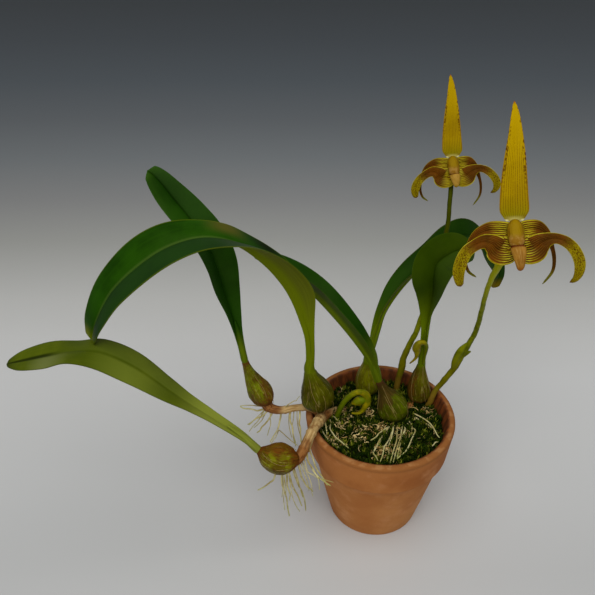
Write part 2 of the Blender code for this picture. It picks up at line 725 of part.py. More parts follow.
# Each bloom: place, lean back, swing and sideways tip in degrees, size, and how far the
# side sepals and the petals droop against the front bloom's
BLOOMS = {
    "flower_front": ((59.2, -40.0, 273.5), 30, 6, -2.5, 1.0, 1.0, 1.0),
    "flower_back": ((47.0, 76.0, 260.0), 28, 5, -3.8, 0.86, 0.75, 1.12),
}


def bloom_pose(bloom):
    """How a bloom is turned: swung about its own upright, tipped sideways and leant back."""
    lean, swing, tip = (math.radians(angle) for angle in BLOOMS[bloom][1:4])
    leaning = Matrix.Rotation(-lean, 3, "X")
    return leaning @ Matrix.Rotation(tip, 3, "Y") @ Matrix.Rotation(-swing, 3, "Z")


def placed(keys, bloom):
    """A bloom's keys of (x, y, z, width, and perhaps fold) moved to where the bloom sits."""
    place, size = Vector(BLOOMS[bloom][0]), BLOOMS[bloom][4]
    pose = bloom_pose(bloom)
    return [(*(place + pose @ Vector(key[:3]) * size), key[3] * size, *key[4:]) for key in keys]


def make_petal(bloom, part, keys, steps):
    """One sepal or petal of a bloom, with its upper side to the front."""
    facing = bloom_pose(bloom) @ Vector((0, -1, 0))
    rows = [(*row[:3], *facing, *row[3:]) for row in placed(keys, bloom)]
    name = f"{bloom}_{part}"
    return blade(name, rows, "petal", steps, SEPAL_THICKNESS, SEPAL_RIB, (-1, 0, 1))


def drooped(keys, droop):
    """Keys that hang that much further down below the height of their first."""
    root = keys[0][2]
    return [(x, y, z + (droop - 1) * min(0.0, z - root), *rest) for x, y, z, *rest in keys]


def make_bloom(bloom):
    """A bloom: three sepals, two petals, the column and the hinged lip below it."""
    sepal_droop, petal_droop = BLOOMS[bloom][5:]
    make_petal(bloom, "sepal_upright", UPRIGHT_SEPAL, 16)
    make_petal(bloom, "sepal_right", drooped(SIDE_SEPAL_RIGHT, sepal_droop), 18)
    make_petal(bloom, "sepal_left", drooped(SIDE_SEPAL_LEFT, sepal_droop), 18)
    make_petal(bloom, "petal_right", drooped(PETAL_RIGHT, petal_droop), 14)
    make_petal(bloom, "petal_left", drooped(PETAL_LEFT, petal_droop), 14)
    facing = bloom_pose(bloom) @ Vector((0, -1, 0))
    tube(f"{bloom}_column", placed(COLUMN, bloom), "column", 8, sides=10)
    tube(f"{bloom}_lip", placed(LIP, bloom), "lip", 8, sides=10, flat=0.5, facing=facing)


def make_rhizome(grow=0.0):
    """All runners and roots in one body, with a shallow seat for the foot of each bulb."""
    tubes = []
    for label, keys in RUNNERS.items():
        tubes.append(tube(label, keys, "rhizome", 2 * len(keys), sides=8, grow=grow))
    for number, route in enumerate(HANGING_ROOTS):
        keys = [(*spot, HANGING_ROOT_RADIUS) for spot in route]
        tubes.append(tube(f"root_{number}", keys, "rhizome", 5, sides=4, grow=grow))
    for number, route in enumerate(MOSS_ROOTS):
        keys = [(*route[0], MOSS_ROOT_RADIUS)]
        for x, y in route[1:]:
            keys.append((x, y, mix_height(x, y) + MOSS_ROOT_LIFT, MOSS_ROOT_RADIUS))
        tubes.append(tube(f"moss_root_{number}", keys, "rhizome", 6, sides=4, grow=grow))
    tubes[0].name = "rhizome"
    rhizome = join_with(tubes[0], tubes[1:], "UNION")
    if grow:
        return rhizome
    return join_with(rhizome, [make_bulb(name, grow=SOCKET) for name in PSEUDOBULBS], "DIFFERENCE")


def make_stalk(name, grow=0.0):
    """A flower stalk with the sheaths that clasp it."""
    stem = tube(name, STALKS[name], "stalk", 20, sides=8, grow=grow)
    if grow:
        return stem
    sheaths = []
    for number, keys in enumerate(SHEATHS[name]):
        sheaths.append(tube(f"{name}_sheath_{number}", keys, "stalk", 6, sides=8, flat=0.8))
    return join_with(stem, sheaths, "UNION")


def make_bud(name, grow=0.0):
    """A nodding bud at the end of its curled stalk."""
    stem, *lobes = BUDS[name]
    body = tube(name, stem, "bud", 22, sides=8, grow=grow)
    if grow or not lobes:
        return body
    extra = [tube(f"{name}_lobe", keys, "bud", 8, sides=8) for keys in lobes]
    return join_with(body, extra, "UNION")


def make_bulb(name, grow=0.0):
    """A ribbed pseudobulb."""
    ribs = {"ribs": BULB_RIBS, "rib_depth": RIB_DEPTH}
    return tube(name, PSEUDOBULBS[name], "bulb", 10, sides=BULB_SIDES, grow=grow, **ribs)


def make_leaf(name):
    """A leaf that rises on a folded stalk and opens to a channelled blade."""
    keys = LEAVES[name]
    across = (-1, -0.5, 0, 0.5, 1)
    steps = 2 * (len(keys) - 1)
    return blade(
        name, keys, "leaf", steps, LEAF_THICKNESS, MIDRIB_THICKNESS, across, stout=STALK_STOUTNESS
    )


def main():
    clear_scene()
    make_pot()
    sunk = [make_rhizome(grow=SOCKET)]
    for name in ("pseudobulb_back", "pseudobulb_centre", "pseudobulb_right"):
        sunk.append(make_bulb(name, grow=SOCKET))
    sunk += [make_stalk(name, grow=SOCKET) for name in STALKS]
    sunk.append(make_bud("bud_low", grow=SOCKET))
    make_mix(sunk)
    make_rhizome()
    for name in PSEUDOBULBS:
        make_bulb(name)
    for name in LEAVES:
        make_leaf(name)
    for name in STALKS:
        make_stalk(name)
    for name in BUDS:
        make_bud(name)
    for bloom in BLOOMS:
        make_bloom(bloom)


main()
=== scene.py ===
# %% [markdown]
# # A potted orchid, dressed for its picture
# The imported model of this plant is a fixed frame: a clay pot, potting mix, a creeping
# rhizome with six pseudobulbs and their leaves, two flower stalks with a bloom each, and
# two buds. Its solids are plain. Here each gets the surface of the real one. The frame is
# loaded first.

# %% Load the fixed frame
import math
import random

import bpy
import numpy as np
from mathutils import Matrix, Vector


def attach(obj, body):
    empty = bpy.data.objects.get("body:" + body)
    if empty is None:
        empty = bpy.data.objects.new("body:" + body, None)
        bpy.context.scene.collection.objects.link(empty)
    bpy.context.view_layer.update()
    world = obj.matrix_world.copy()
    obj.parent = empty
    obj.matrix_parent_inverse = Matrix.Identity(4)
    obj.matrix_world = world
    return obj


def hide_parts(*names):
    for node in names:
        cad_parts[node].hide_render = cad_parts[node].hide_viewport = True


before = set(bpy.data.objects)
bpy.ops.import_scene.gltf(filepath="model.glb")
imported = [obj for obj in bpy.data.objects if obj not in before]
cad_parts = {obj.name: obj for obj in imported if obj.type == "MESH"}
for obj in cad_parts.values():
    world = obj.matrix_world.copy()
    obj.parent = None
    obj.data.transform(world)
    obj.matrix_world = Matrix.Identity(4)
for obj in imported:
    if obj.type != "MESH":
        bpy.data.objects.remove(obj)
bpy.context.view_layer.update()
print("solids in the frame:", len(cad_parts))

# %% [markdown]
# ## Camera
# The picture was taken from a little above the blooms, looking down on the pot. The camera
# stands at that place with that lens.

# %% Camera
MM = 0.001  # one millimetre, in metres
CAMERA_PLACE = (-0.0612, -0.3850, 0.4762)
CAMERA_TILT = 54.59  # degrees up from looking straight down
LENS = 43.58
SENSOR_WIDTH = 36

bpy.ops.object.camera_add(location=CAMERA_PLACE, rotation=(math.radians(CAMERA_TILT), 0, 0))
camera = bpy.context.object
camera.data.sensor_width = SENSOR_WIDTH
camera.data.lens = LENS
bpy.context.scene.camera = camera
bpy.context.scene.view_settings.view_transform = "Standard"
bpy.context.scene.view_settings.look = "None"
print("camera height:", round(camera.location.z, 3), "m")

# %% [markdown]
# ## A short way to write a finish
# A finish is a tree of nodes, and wiring each node by hand takes many lines. Here a value
# in the tree can be added to and multiplied by others with plain signs, and each sign adds
# its node. Colours are written as they look on the screen, from 0 to 255. The tree in work
# lies on the bench, so no helper has to be told which it is.

# %% Colours and values
def srgb(red, green, blue):
    """A colour as it looks on the screen, made linear."""
    tones = [value / 255 for value in (red, green, blue)]
    linear = (tone / 12.92 if tone < 0.04 else ((tone + 0.055) / 1.055) ** 2.4 for tone in tones)
    return (*linear, 1)


def toned(colour, share):
    """A colour made darker or lighter by that share."""
    return (*(share * tone for tone in srgb(*colour)[:3]), 1)


class Value:
    """A number, place or colour in a finish. Each sign between two values adds a node."""

    def __init__(self, socket):
        self.socket = socket

    def __add__(self, other):
        return maths("ADD", self, other)

    def __sub__(self, other):
        return maths("SUBTRACT", self, other)

    def __mul__(self, other):
        return maths("MULTIPLY", self, other)

    def __radd__(self, other):
        return maths("ADD", other, self)

    def __rsub__(self, other):
        return maths("SUBTRACT", other, self)

    def __abs__(self):
        return maths("ABSOLUTE", self)


# %% Nodes and finishes
bench = {}


def wire(socket, value):
    """Link a value to a socket, or write a plain number or colour on it."""
    if isinstance(value, Value):
        socket.id_data.links.new(value.socket, socket)
    elif isinstance(value, tuple) and len(value) == 3 and len(socket.default_value) == 4:
        socket.default_value = srgb(*value)
    else:
        socket.default_value = value


def node(kind, inputs, output=0, **settings):
    """Add a node to the tree in work, set it up, and give one of its outputs."""
    added = bench["tree"].nodes.new("ShaderNode" + kind)
    for name, value in settings.items():
        setattr(added, name, value)
    for socket, value in inputs.items():
        wire(added.inputs[socket], value)
    return Value(added.outputs[output])


def new_finish(name, roughness=0.5, gloss=0.5, sheen=(1, 1, 1, 1)):
    """A finish and its shader, evenly rough and glossy, with that tint in its shine."""
    finish = bpy.data.materials.new(name)
    finish.use_nodes = True
    bench["tree"] = finish.node_tree
    shader = finish.node_tree.nodes["Principled BSDF"]
    shader.inputs["Roughness"].default_value = roughness
    shader.inputs["Specular IOR Level"].default_value = gloss
    shader.inputs["Specular Tint"].default_value = sheen
    return finish, shader


# %% Sums, mixes and patterns
def maths(operation, first, second=0.0):
    """One sum of two values."""
    return node("Math", {0: first, 1: second}, operation=operation)


def larger(first, second):
    """The larger of two values."""
    return maths("MAXIMUM", first, second)


def fraction(value):
    """What is left of a value above its whole number."""
    return maths("FRACT", value)


def clamped(value):
    """A sum that stays between 0 and 1."""
    value.socket.node.use_clamp = True
    return value


def mixed(share, first, second):
    """Two colours in one, with that share of the second."""
    return node("Mix", {0: share, 6: first, 7: second}, 2, data_type="RGBA")


def ramp(value, low, high):
    """How far a value has come from low to high, smoothly, from 0 to 1."""
    ends = {"Value": value, "From Min": low, "From Max": high}
    return node("MapRange", ends, interpolation_type="SMOOTHSTEP")


def peak(value, place, spread):
    """1 where a value is at a place, falling to 0 at that spread from it."""
    return ramp(abs(value - place), spread, 0.0)


def noise(place, scale, detail=3.0, rough=0.55):
    """Soft cloudy noise, around 0.5."""
    look = {"Vector": place, "Scale": scale, "Detail": detail, "Roughness": rough}
    return node("TexNoise", look)


def streaky(uv, across, along, detail=3.0, rough=0.55):
    """Noise on a piece's map, packed by other amounts across and along it."""
    return noise(stretched(uv, across, along, 1), 1, detail, rough)


def clouded(place, scale, first, second, low=0.35, high=0.65):
    """Two colours in soft clouds."""
    return mixed(ramp(noise(place, scale, 3), low, high), first, second)


def dots(place, scale):
    """The distance to the nearest of many scattered dots."""
    return node("TexVoronoi", {"Vector": place, "Scale": scale}, "Distance")


# %% Places and surfaces
def object_place():
    """The place in the object's own metres."""
    return node("TexCoord", {}, "Object")


def stretched(place, x, y, z):
    """A place drawn out or packed along each axis."""
    return node("Mapping", {"Vector": place, "Scale": (x, y, z)})


def split(place):
    """The three numbers of a place."""
    return [Value(part) for part in node("SeparateXYZ", {0: place}).socket.node.outputs]


def uv_place():
    """The place on a piece's own map, and its two numbers: across or around, and along."""
    uv = node("TexCoord", {}, "UV")
    return (uv, *split(uv)[:2])


def attribute(name):
    """A value that the piece carries on its points or faces."""
    return node("Attribute", {}, "Fac", attribute_name=name)


def paint(shader, colour):
    """Give a shader its colour."""
    wire(shader.inputs["Base Color"], colour)


def coat(finish, *pieces):
    """Give pieces a finish."""
    for piece in pieces:
        piece.data.materials.append(finish)


def bumped(shader, height, distance, strength=1.0):
    """Raise a surface by a height pattern, a distance in metres deep."""
    relief = node("Bump", {"Height": height, "Distance": distance, "Strength": strength})
    wire(shader.inputs["Normal"], relief)


# %% [markdown]
# ## The tint of a shine
# Living leaves and petals shine, but a white shine would wash their deep colours out. So
# the shine is weak and has a tint: yellow green on green parts and gold on warm ones.

# %% Sheens
GREEN_SHEEN = (0.62, 0.85, 0.22, 1)
WARM_SHEEN = (0.95, 0.80, 0.35, 1)
print("a leaf's shine is tinted", GREEN_SHEEN[:3])

# %% [markdown]
# ## Floor
# The floor is one plain pale disc that grows darker far away, and a little at its near edge.
# A photographer's table does so because the light falls off. Here the fall is painted into
# the floor's own grey, which depends only on how far back a point lies, so the light can stay
# even and simple.

# %% Floor
FLOOR_RADIUS = 4.0
FLOOR_NEAR, FLOOR_FAR = -0.2, 1.8
FLOOR_GREYS = [
    (-0.07, (0.545, 0.545, 0.532)), (0.00, (0.622, 0.622, 0.608)),
    (0.15, (0.735, 0.733, 0.715)), (0.21, (0.732, 0.727, 0.700)),
    (0.28, (0.680, 0.675, 0.640)), (0.41, (0.485, 0.485, 0.448)),
    (0.52, (0.374, 0.374, 0.364)), (0.66, (0.274, 0.294, 0.301)),
    (0.82, (0.196, 0.215, 0.227)), (1.03, (0.129, 0.156, 0.175)),
    (1.31, (0.080, 0.101, 0.117)), (1.64, (0.038, 0.055, 0.064)),
]

floor_finish, floor_shader = new_finish("pale floor", roughness=0.42)
back = split(object_place())[1]
depth = node("MapRange", {"Value": back, "From Min": FLOOR_NEAR, "From Max": FLOOR_FAR})
greys = node("ValToRGB", {"Fac": depth}, "Color")
stops = greys.socket.node.color_ramp.elements
for number, (y, tone) in enumerate(FLOOR_GREYS):
    spot = (y - FLOOR_NEAR) / (FLOOR_FAR - FLOOR_NEAR)
    stop = stops[0] if number == 0 else stops.new(spot)
    stop.position = spot
    stop.color = (*tone, 1)
stops.remove(stops[-1])
paint(floor_shader, greys)


def deselect():
    """Let go of every object, so that an operator acts on the new one alone."""
    bpy.ops.object.select_all(action="DESELECT")


deselect()
bpy.ops.mesh.primitive_circle_add(vertices=128, radius=FLOOR_RADIUS, fill_type="NGON")
floor = bpy.context.object
floor.name = "floor"
coat(floor_finish, floor)
print("floor radius:", FLOOR_RADIUS, "m")

# %% [markdown]
# ## Light
# The light is a wide soft panel overhead, a weaker one in front and an even grey sky,
# which together leave hardly any shadow.

# %% Light
def soft_panel(name, place, target, width, height, watts):
    """A wide soft light that looks at a place."""
    bpy.ops.object.light_add(type="AREA", location=place)
    lamp = bpy.context.object
    lamp.name = name
    lamp.data.shape = "RECTANGLE"
    lamp.data.size, lamp.data.size_y = width, height
    lamp.data.energy = watts
    lamp.rotation_euler = (Vector(target) - Vector(place)).to_track_quat("-Z", "Y").to_euler()


SKY_GREY = (0.80, 0.82, 0.85, 1)
SKY_STRENGTH = 0.262

soft_panel(
    "overhead panel", (-0.04, -0.40, 1.00), (-0.03, -0.02, 0.05), width=1.1, height=0.9, watts=8.4
)
soft_panel("front panel", (-0.45, -1.1, 0.75), (0, 0, 0.12), width=1.0, height=0.8, watts=2.4)
sky = bpy.data.worlds.new("even grey sky")
sky.use_nodes = True
backdrop = sky.node_tree.nodes["Background"]
backdrop.inputs["Color"].default_value = SKY_GREY
backdrop.inputs["Strength"].default_value = SKY_STRENGTH
bpy.context.scene.world = sky
print("sky strength:", SKY_STRENGTH)

# %% [markdown]
# ## Two ways of shaping
# Nearly all of a plant is either a blade, such as a leaf or a sepal, or a stem, such as a
# root or a bulb. Both start here as a flat grid, which has a ready map from side to side
# and from end to end. A blade's grid is laid along a route and folded at its middle, then
# given its thickness. A stem's grid is rolled up round its route, and the seam and the two
# ends are merged. The routes are the ones that the solids follow, in millimetres.

# %% Routes
def smooth(keys, steps):
    """Rows along a smooth curve through the key rows, which hold a place and any widths."""
    rows = np.array(keys, float)
    rows = np.vstack([2 * rows[0] - rows[1], rows, 2 * rows[-1] - rows[-2]])
    spans = len(rows) - 3
    out = []
    for step in range(steps + 1):
        place = step / steps * spans
        first = min(int(place), spans - 1)
        t = place - first
        a, b, c, d = rows[first : first + 4]
        bend = (2 * a - 5 * b + 4 * c - d) * t * t + (3 * b - a - 3 * c + d) * t**3
        out.append(0.5 * (2 * b + (c - a) * t + bend))
    return np.array(out)


def unit(vectors):
    """Vectors made one long."""
    return vectors / np.linalg.norm(vectors, axis=-1, keepdims=True)


def frames(places, facing=None):
    """The way along a route, and two directions across it that turn as little as they can.

    The first is the one nearest to the facing, which is to the back where none is given.
    """
    ways = unit(np.gradient(places, axis=0))
    side = np.array((0.0, 1.0, 0.0)) if abs(ways[0][1]) < 0.8 else np.array((1.0, 0.0, 0.0))
    if facing is not None:
        side = np.array(facing)
    sides = []
    for way in ways:
        side = unit(side - way * side.dot(way))
        sides.append(side)
    return ways, np.array(sides), np.cross(ways, sides)


def travelled(places):
    """The distance from the start of a route to each of its places."""
    steps = np.linalg.norm(np.diff(places, axis=0), axis=1)
    return np.concatenate([[0.0], np.cumsum(steps)])


# %% Grids
TOUCHING = 0.002  # points this near each other, in millimetres, are one
SOFT_ANGLE = 50  # edges below this angle, in degrees, are shaded smooth


def flat_grid(name, across, along):
    """A flat grid, with the column from 0 to 1 and the row number of each of its points."""
    deselect()
    bpy.ops.mesh.primitive_grid_add(x_subdivisions=across, y_subdivisions=along, size=2)
    piece = bpy.context.object
    piece.name = piece.data.name = name
    spots = np.empty(3 * len(piece.data.vertices))
    piece.data.vertices.foreach_get("co", spots)
    spots = spots.reshape(-1, 3)
    return piece, (spots[:, 0] + 1) / 2, np.rint((spots[:, 1] + 1) / 2 * along).astype(int)


def put_points(piece, points):
    """Move a piece's points to places in millimetres."""
    piece.data.vertices.foreach_set("co", (points * MM).ravel())
    piece.data.update()


def merge_touching(soft_angle=SOFT_ANGLE):
    """Merge points that lie on each other, which closes a seam or a pole, and smooth."""
    bpy.ops.object.mode_set(mode="EDIT")
    bpy.ops.mesh.select_all(action="SELECT")
    bpy.ops.mesh.remove_doubles(threshold=TOUCHING * MM)
    bpy.ops.mesh.normals_make_consistent(inside=False)
    bpy.ops.object.mode_set(mode="OBJECT")
    bpy.ops.object.shade_smooth_by_angle(angle=math.radians(soft_angle))


# %% Stems
THINNEST = 0.12


def stem(name, keys, around, along, flat=1.0, facing=None, relief=None):
    """A closed stem along keys of (x, y, z, radius); flat squashes it along its facing.

    The relief is a function of the turn and of the distance travelled, in millimetres, that
    gives the share by which the radius grows there.
    """
    piece, column, row = flat_grid(name, around, along)
    rows = smooth(keys, along)
    _, sides, others = frames(rows[:, :3], facing)
    run = travelled(rows[:, :3])
    radius = np.maximum(rows[:, 3], THINNEST)
    left = np.minimum(run, run[-1] - run)
    dome = np.sqrt(np.clip(1 - (1 - np.minimum(left, radius) / radius) ** 2, 0, 1))
    turn = 2 * math.pi * column
    reach = (radius * dome)[row]
    if relief:
        reach = reach * (1 + relief(turn, run[row]))
    out = np.cos(turn)[:, None] * flat * sides[row] + np.sin(turn)[:, None] * others[row]
    put_points(piece, rows[row, :3] + reach[:, None] * out)
    merge_touching()
    return piece


# %% Thickness
def thicken(piece, thickness, share):
    """Give a sheet its thickness below its upper side, and mark which side a face is on."""
    group = piece.vertex_groups.new(name="thickness")
    for number, weight in enumerate(share):
        group.add([number], float(weight), "REPLACE")
    faces = len(piece.data.polygons)
    change = piece.modifiers.new("thickness", "SOLIDIFY")
    change.thickness = thickness * MM
    change.offset = -1
    change.vertex_group = group.name
    bpy.ops.object.modifier_apply(modifier=change.name)
    piece.vertex_groups.clear()
    marks = np.full(len(piece.data.polygons), 0.5)
    marks[:faces] = 0.0
    marks[faces : 2 * faces] = 1.0
    under = piece.data.attributes.new("under", "FLOAT", "FACE")
    under.data.foreach_set("value", marks)


# %% Blades
THINNEST_HALF = 0.2
TIP_ROUNDING = 0.03  # the share of a blade's length over which its tip closes
GROOVE_SPREAD = 0.08  # half the groove's width, as a share of the blade's half width
RIB_SPREAD = 0.10


def blade(
    name, keys, across, along, thickness, rib, stout=0.0, bulge=0.0, groove=0.0, wave=0.0, waves=3
):
    """A leaf or petal along keys of (x, y, z, face x, face y, face z, half width, fold).

    Each half bulges by that share of its width, the margin waves by that share, and the
    midrib lies in a groove that many millimetres deep. It is stouter by that share at its
    start.
    """
    piece, column, row = flat_grid(name, across, along)
    rows = smooth(keys, along)
    ways = unit(np.gradient(rows[:, :3], axis=0))
    face = unit(rows[:, 3:6] - ways * np.sum(rows[:, 3:6] * ways, axis=1, keepdims=True))
    side = np.cross(face, ways)
    run = np.arange(along + 1) / along
    closing = np.sqrt(np.clip((1 - run) / TIP_ROUNDING, 0.02, 1))
    half = (np.maximum(rows[:, 6], THINNEST_HALF) * closing)[row]
    fold, face, run = np.radians(rows[:, 7])[row], face[row], run[row]
    u = 1 - 2 * column
    reach = np.abs(u)
    lean = np.sign(u)[:, None] * side[row]
    flank_tone_and_shade = lean * np.cos(fold)[:, None] + face * np.sin(fold)[:, None]
    normal = face * np.cos(fold)[:, None] - lean * np.sin(fold)[:, None]
    swell = bulge * 4 * reach * (1 - reach)
    swell += wave * reach**3 * np.sin(2 * math.pi * waves * run + 2 * u)
    sunk = groove * np.exp(-((reach / GROOVE_SPREAD) ** 2)) * np.minimum(1, half / 6)
    lift = half * swell - sunk
    put_points(piece, rows[row, :3] + flank_tone_and_shade * (half * reach)[:, None] + normal * lift[:, None])
    depth = thickness + (rib - thickness) * np.exp(-((reach / RIB_SPREAD) ** 2))
    depth *= 1 + stout * np.clip(1 - 3 * run, 0, 1)
    depth *= np.where(run > 1 - TIP_ROUNDING, 0.6, 1.0) * (1 - 0.45 * reach**6)
    thicken(piece, depth.max(), depth / depth.max())
    bpy.ops.object.shade_smooth_by_angle(angle=math.radians(SOFT_ANGLE))
    return piece


# %% Joining and handing over
def joined(name, pieces):
    """Several pieces made one."""
    deselect()
    for piece in pieces:
        piece.select_set(True)
    bpy.context.view_layer.objects.active = pieces[0]
    bpy.ops.object.join()
    pieces[0].name = pieces[0].data.name = name
    return pieces[0]


def hand_over(piece, slot, *nodes):
    """Let a finished piece ride on the plant and stand for its solids."""
    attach(piece, "root")
    if nodes:
        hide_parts(*nodes)
    print(f"{piece.name}: {len(piece.data.polygons)} faces")


# %% [markdown]
# ## The clay pot
# A thrown clay pot has a deep collar, a rounded lip and three drainage holes. Its profile
# is drawn from one point, extruded from corner to corner, and then spun about the upright
# axis, which is how a turned body is made by hand. The clay is orange brown and dusty, the
# lip is darker and worn in places, and the inner wall is dark where it has stayed wet.

# %% Clay pot
POT_HEIGHT = 98.0
RIM_RADIUS = 55.0
FOOT_RADIUS = 35.0
COLLAR_HEIGHT = 28.5
COLLAR_FOOT_RADIUS = 52.2
NECK_RADIUS = 49.6
INNER_RIM_RADIUS = 49.5
INNER_FLOOR_RADIUS = 30.5
FLOOR_THICKNESS = 6.0
POT_STEPS = 120


def inner_radius(height):
    """The pot's inside radius at a height."""
    rise = (height - FLOOR_THICKNESS) / (POT_HEIGHT - FLOOR_THICKNESS)
    return INNER_FLOOR_RADIUS + (INNER_RIM_RADIUS - INNER_FLOOR_RADIUS) * rise


def spun(name, profile, steps):
    """Draw a profile of (radius, height) points by extruding one, and spin it upright."""
    deselect()
    bpy.ops.mesh.primitive_plane_add(size=MM, location=(0, 0, 0))
    piece = bpy.context.object
    piece.name = piece.data.name = name
    bpy.ops.object.mode_set(mode="EDIT")
    bpy.ops.mesh.merge(type="CENTER")
    radius, height = profile[0]
    bpy.ops.transform.translate(value=(radius * MM, 0, height * MM))
    for next_radius, next_height in profile[1:]:
        step = ((next_radius - radius) * MM, 0, (next_height - height) * MM)
        bpy.ops.mesh.extrude_region_move(TRANSFORM_OT_translate={"value": step})
        radius, height = next_radius, next_height
    bpy.ops.mesh.select_all(action="SELECT")
    bpy.ops.mesh.spin(steps=steps, angle=2 * math.pi, center=(0, 0, 0), axis=(0, 0, 1))
    merge_touching(35)
    return piece


# %% The pot's profile
def arc(radius, height, size, start, end, steps=5):
    """Points of a rounded corner about a centre, from one angle to another in degrees."""
    angles = np.radians(np.linspace(start, end, steps))
    return [(radius + size * math.cos(angle), height + size * math.sin(angle)) for angle in angles]


FOOT_ROUNDING = 1.2
COLLAR_ROUNDING = 1.0
LIP_ROUNDING = 2.4
INNER_ROUNDING = 1.8
collar_foot = POT_HEIGHT - COLLAR_HEIGHT
flare = NECK_RADIUS - FOOT_RADIUS
profile = [(0, 0), (FOOT_RADIUS - 14, 0)]
profile += arc(FOOT_RADIUS - FOOT_ROUNDING, FOOT_ROUNDING, FOOT_ROUNDING, -90, -15)
profile += [(FOOT_RADIUS + flare * share, collar_foot * share) for share in (0.3, 0.6, 0.9)]
profile += [(NECK_RADIUS, collar_foot - 0.5), (NECK_RADIUS + 0.5, collar_foot)]
corner = COLLAR_FOOT_RADIUS - COLLAR_ROUNDING, collar_foot + COLLAR_ROUNDING
profile += arc(*corner, COLLAR_ROUNDING, -80, 0)
profile += [(COLLAR_FOOT_RADIUS + 1.2, collar_foot + 12), (RIM_RADIUS - 0.35, POT_HEIGHT - 5)]
profile += arc(RIM_RADIUS - LIP_ROUNDING, POT_HEIGHT - LIP_ROUNDING, LIP_ROUNDING, 0, 90, 7)
corner = INNER_RIM_RADIUS + 1.6, POT_HEIGHT - INNER_ROUNDING
profile += arc(*corner, INNER_ROUNDING, 100, 175)
profile += [(inner_radius(z), z) for z in (POT_HEIGHT - 6, 70, 40, FLOOR_THICKNESS + 2)]
profile += [(INNER_FLOOR_RADIUS - 2, FLOOR_THICKNESS), (0, FLOOR_THICKNESS)]
pot = spun("clay_pot", profile, POT_STEPS)
print("points in the pot's profile:", len(profile))

# %% [markdown]
# A potter pushes the drainage holes through the floor while the clay is wet. Here a
# cylinder is cut out of the pot once for each hole, which leaves clean edges. In some runs
# the cut leaves out one small side of a hole's wall.

# %% Drainage holes
DRAIN_RADIUS = 4.0
DRAIN_CIRCLE_RADIUS = 17.0
DRAIN_HOLES = 3
FIRST_DRAIN = 0.25  # the share of the way from one hole to the next at which the first lies
DRILL_LENGTH = 40.0

for hole in range(DRAIN_HOLES):
    turn = 2 * math.pi * (hole + FIRST_DRAIN) / DRAIN_HOLES
    place = Vector((math.cos(turn), math.sin(turn), 0)) * DRAIN_CIRCLE_RADIUS * MM
    deselect()
    bpy.ops.mesh.primitive_cylinder_add(
        vertices=24, radius=DRAIN_RADIUS * MM, depth=DRILL_LENGTH * MM, location=place
    )
    drill = bpy.context.object
    deselect()
    pot.select_set(True)
    bpy.context.view_layer.objects.active = pot
    cut = pot.modifiers.new("drain", "BOOLEAN")
    cut.operation = "DIFFERENCE"
    cut.object = drill
    bpy.ops.object.modifier_apply(modifier=cut.name)
    bpy.data.objects.remove(drill, do_unlink=True)
print("drainage holes:", DRAIN_HOLES)


# %% [markdown]
# Much of the clay's look goes by height: the collar, the worn lip, the damp wall inside. The
# body is painted paler than the collar as painted light, and darker just below the collar
# foot as painted shade. So the finish asks how high and how far out a point lies, and lays
# one tone over another.
# So the finish asks how high and how far out a point lies, and lays one tone over another.

# %% Clay finish
def clay_finish():
    """Dusty orange clay with faint throwing lines, a worn lip and a dark wet inside."""
    finish, shader = new_finish("dusty clay", gloss=0.25)
    place = object_place()
    height = split(place)[2]
    radius = node("VectorMath", {0: stretched(place, 1, 1, 0)}, "Value", operation="LENGTH")
    clouds = ramp(noise(place, 22, 4), 0.35, 0.68)
    grain = noise(place, 900, 2)
    collar = mixed(clouds, (162, 94, 38), (183, 115, 56))
    # The body is painted paler than the collar: painted light for the overhead light it misses.
    body = mixed(clouds, (178, 110, 52), (199, 134, 72))
    # Blended from 82 down to 50 mm, the body is darker just below the collar foot: painted shade.
    colour = mixed(ramp(height, 0.082, 0.05), collar, body)
    chalk = ramp(noise(place, 60, 5), 0.5, 0.78)
    colour = mixed(chalk * 0.55, colour, (212, 150, 98))
    lip = ramp(height, 0.0925, 0.0965)
    colour = mixed(lip * 0.75, colour, (132, 82, 36))
    worn = ramp(height, 0.0965, 0.0979) * ramp(noise(place, 160, 4), 0.5, 0.66)
    colour = mixed(worn * 0.35, colour, (196, 146, 92))
    inside = ramp(radius, 0.0518, 0.05) * ramp(height, 0.073, 0.078)
    streaks = noise(stretched(place, 260, 260, 22), 1, 4)
    wet = mixed(ramp(streaks, 0.4, 0.66), (72, 34, 8), (128, 64, 20))
    colour = mixed(inside, colour, wet)
    colour = mixed(grain * 0.2, colour, (128, 74, 32))
    paint(shader, colour)
    wire(shader.inputs["Roughness"], 0.9 - inside * 0.2)
    lines = noise(stretched(place, 4, 4, 700), 1, 2)
    bumped(shader, lines + grain * 0.6, 0.00025, 0.6)
    return finish


coat(clay_finish(), pot)
hand_over(pot, "clay", "pot")

# %% [markdown]
# ## The mossy top of the potting mix
# The pot is filled with damp mix, and living moss covers it, with straw-coloured threads
# of old moss between. The filling is one spun body whose top is lumpy. The moss itself is
# a carpet of tiny shoots. One shoot is modelled from thin cones and then set down
# thousands of times, each turned and sized a little differently, in one mesh.

# %% Filling
MIX_LEVEL = 87.0
MIX_SWELL = 2.2
MOSS_RELIEF = 0.7
GAP = 0.3
TOP_ROWS = 36
MIX_COLUMNS = 128


def mix_height(x, y):
    """The height of the moss: it swells in the middle and lies in low tufts."""
    swell = MIX_SWELL * (1 - (x * x + y * y) / inner_radius(MIX_LEVEL) ** 2)
    tufts = np.sin(0.42 * x + 0.9) * np.cos(0.37 * y) + np.sin(0.21 * x - 0.5 * y)
    return MIX_LEVEL + swell + MOSS_RELIEF * tufts


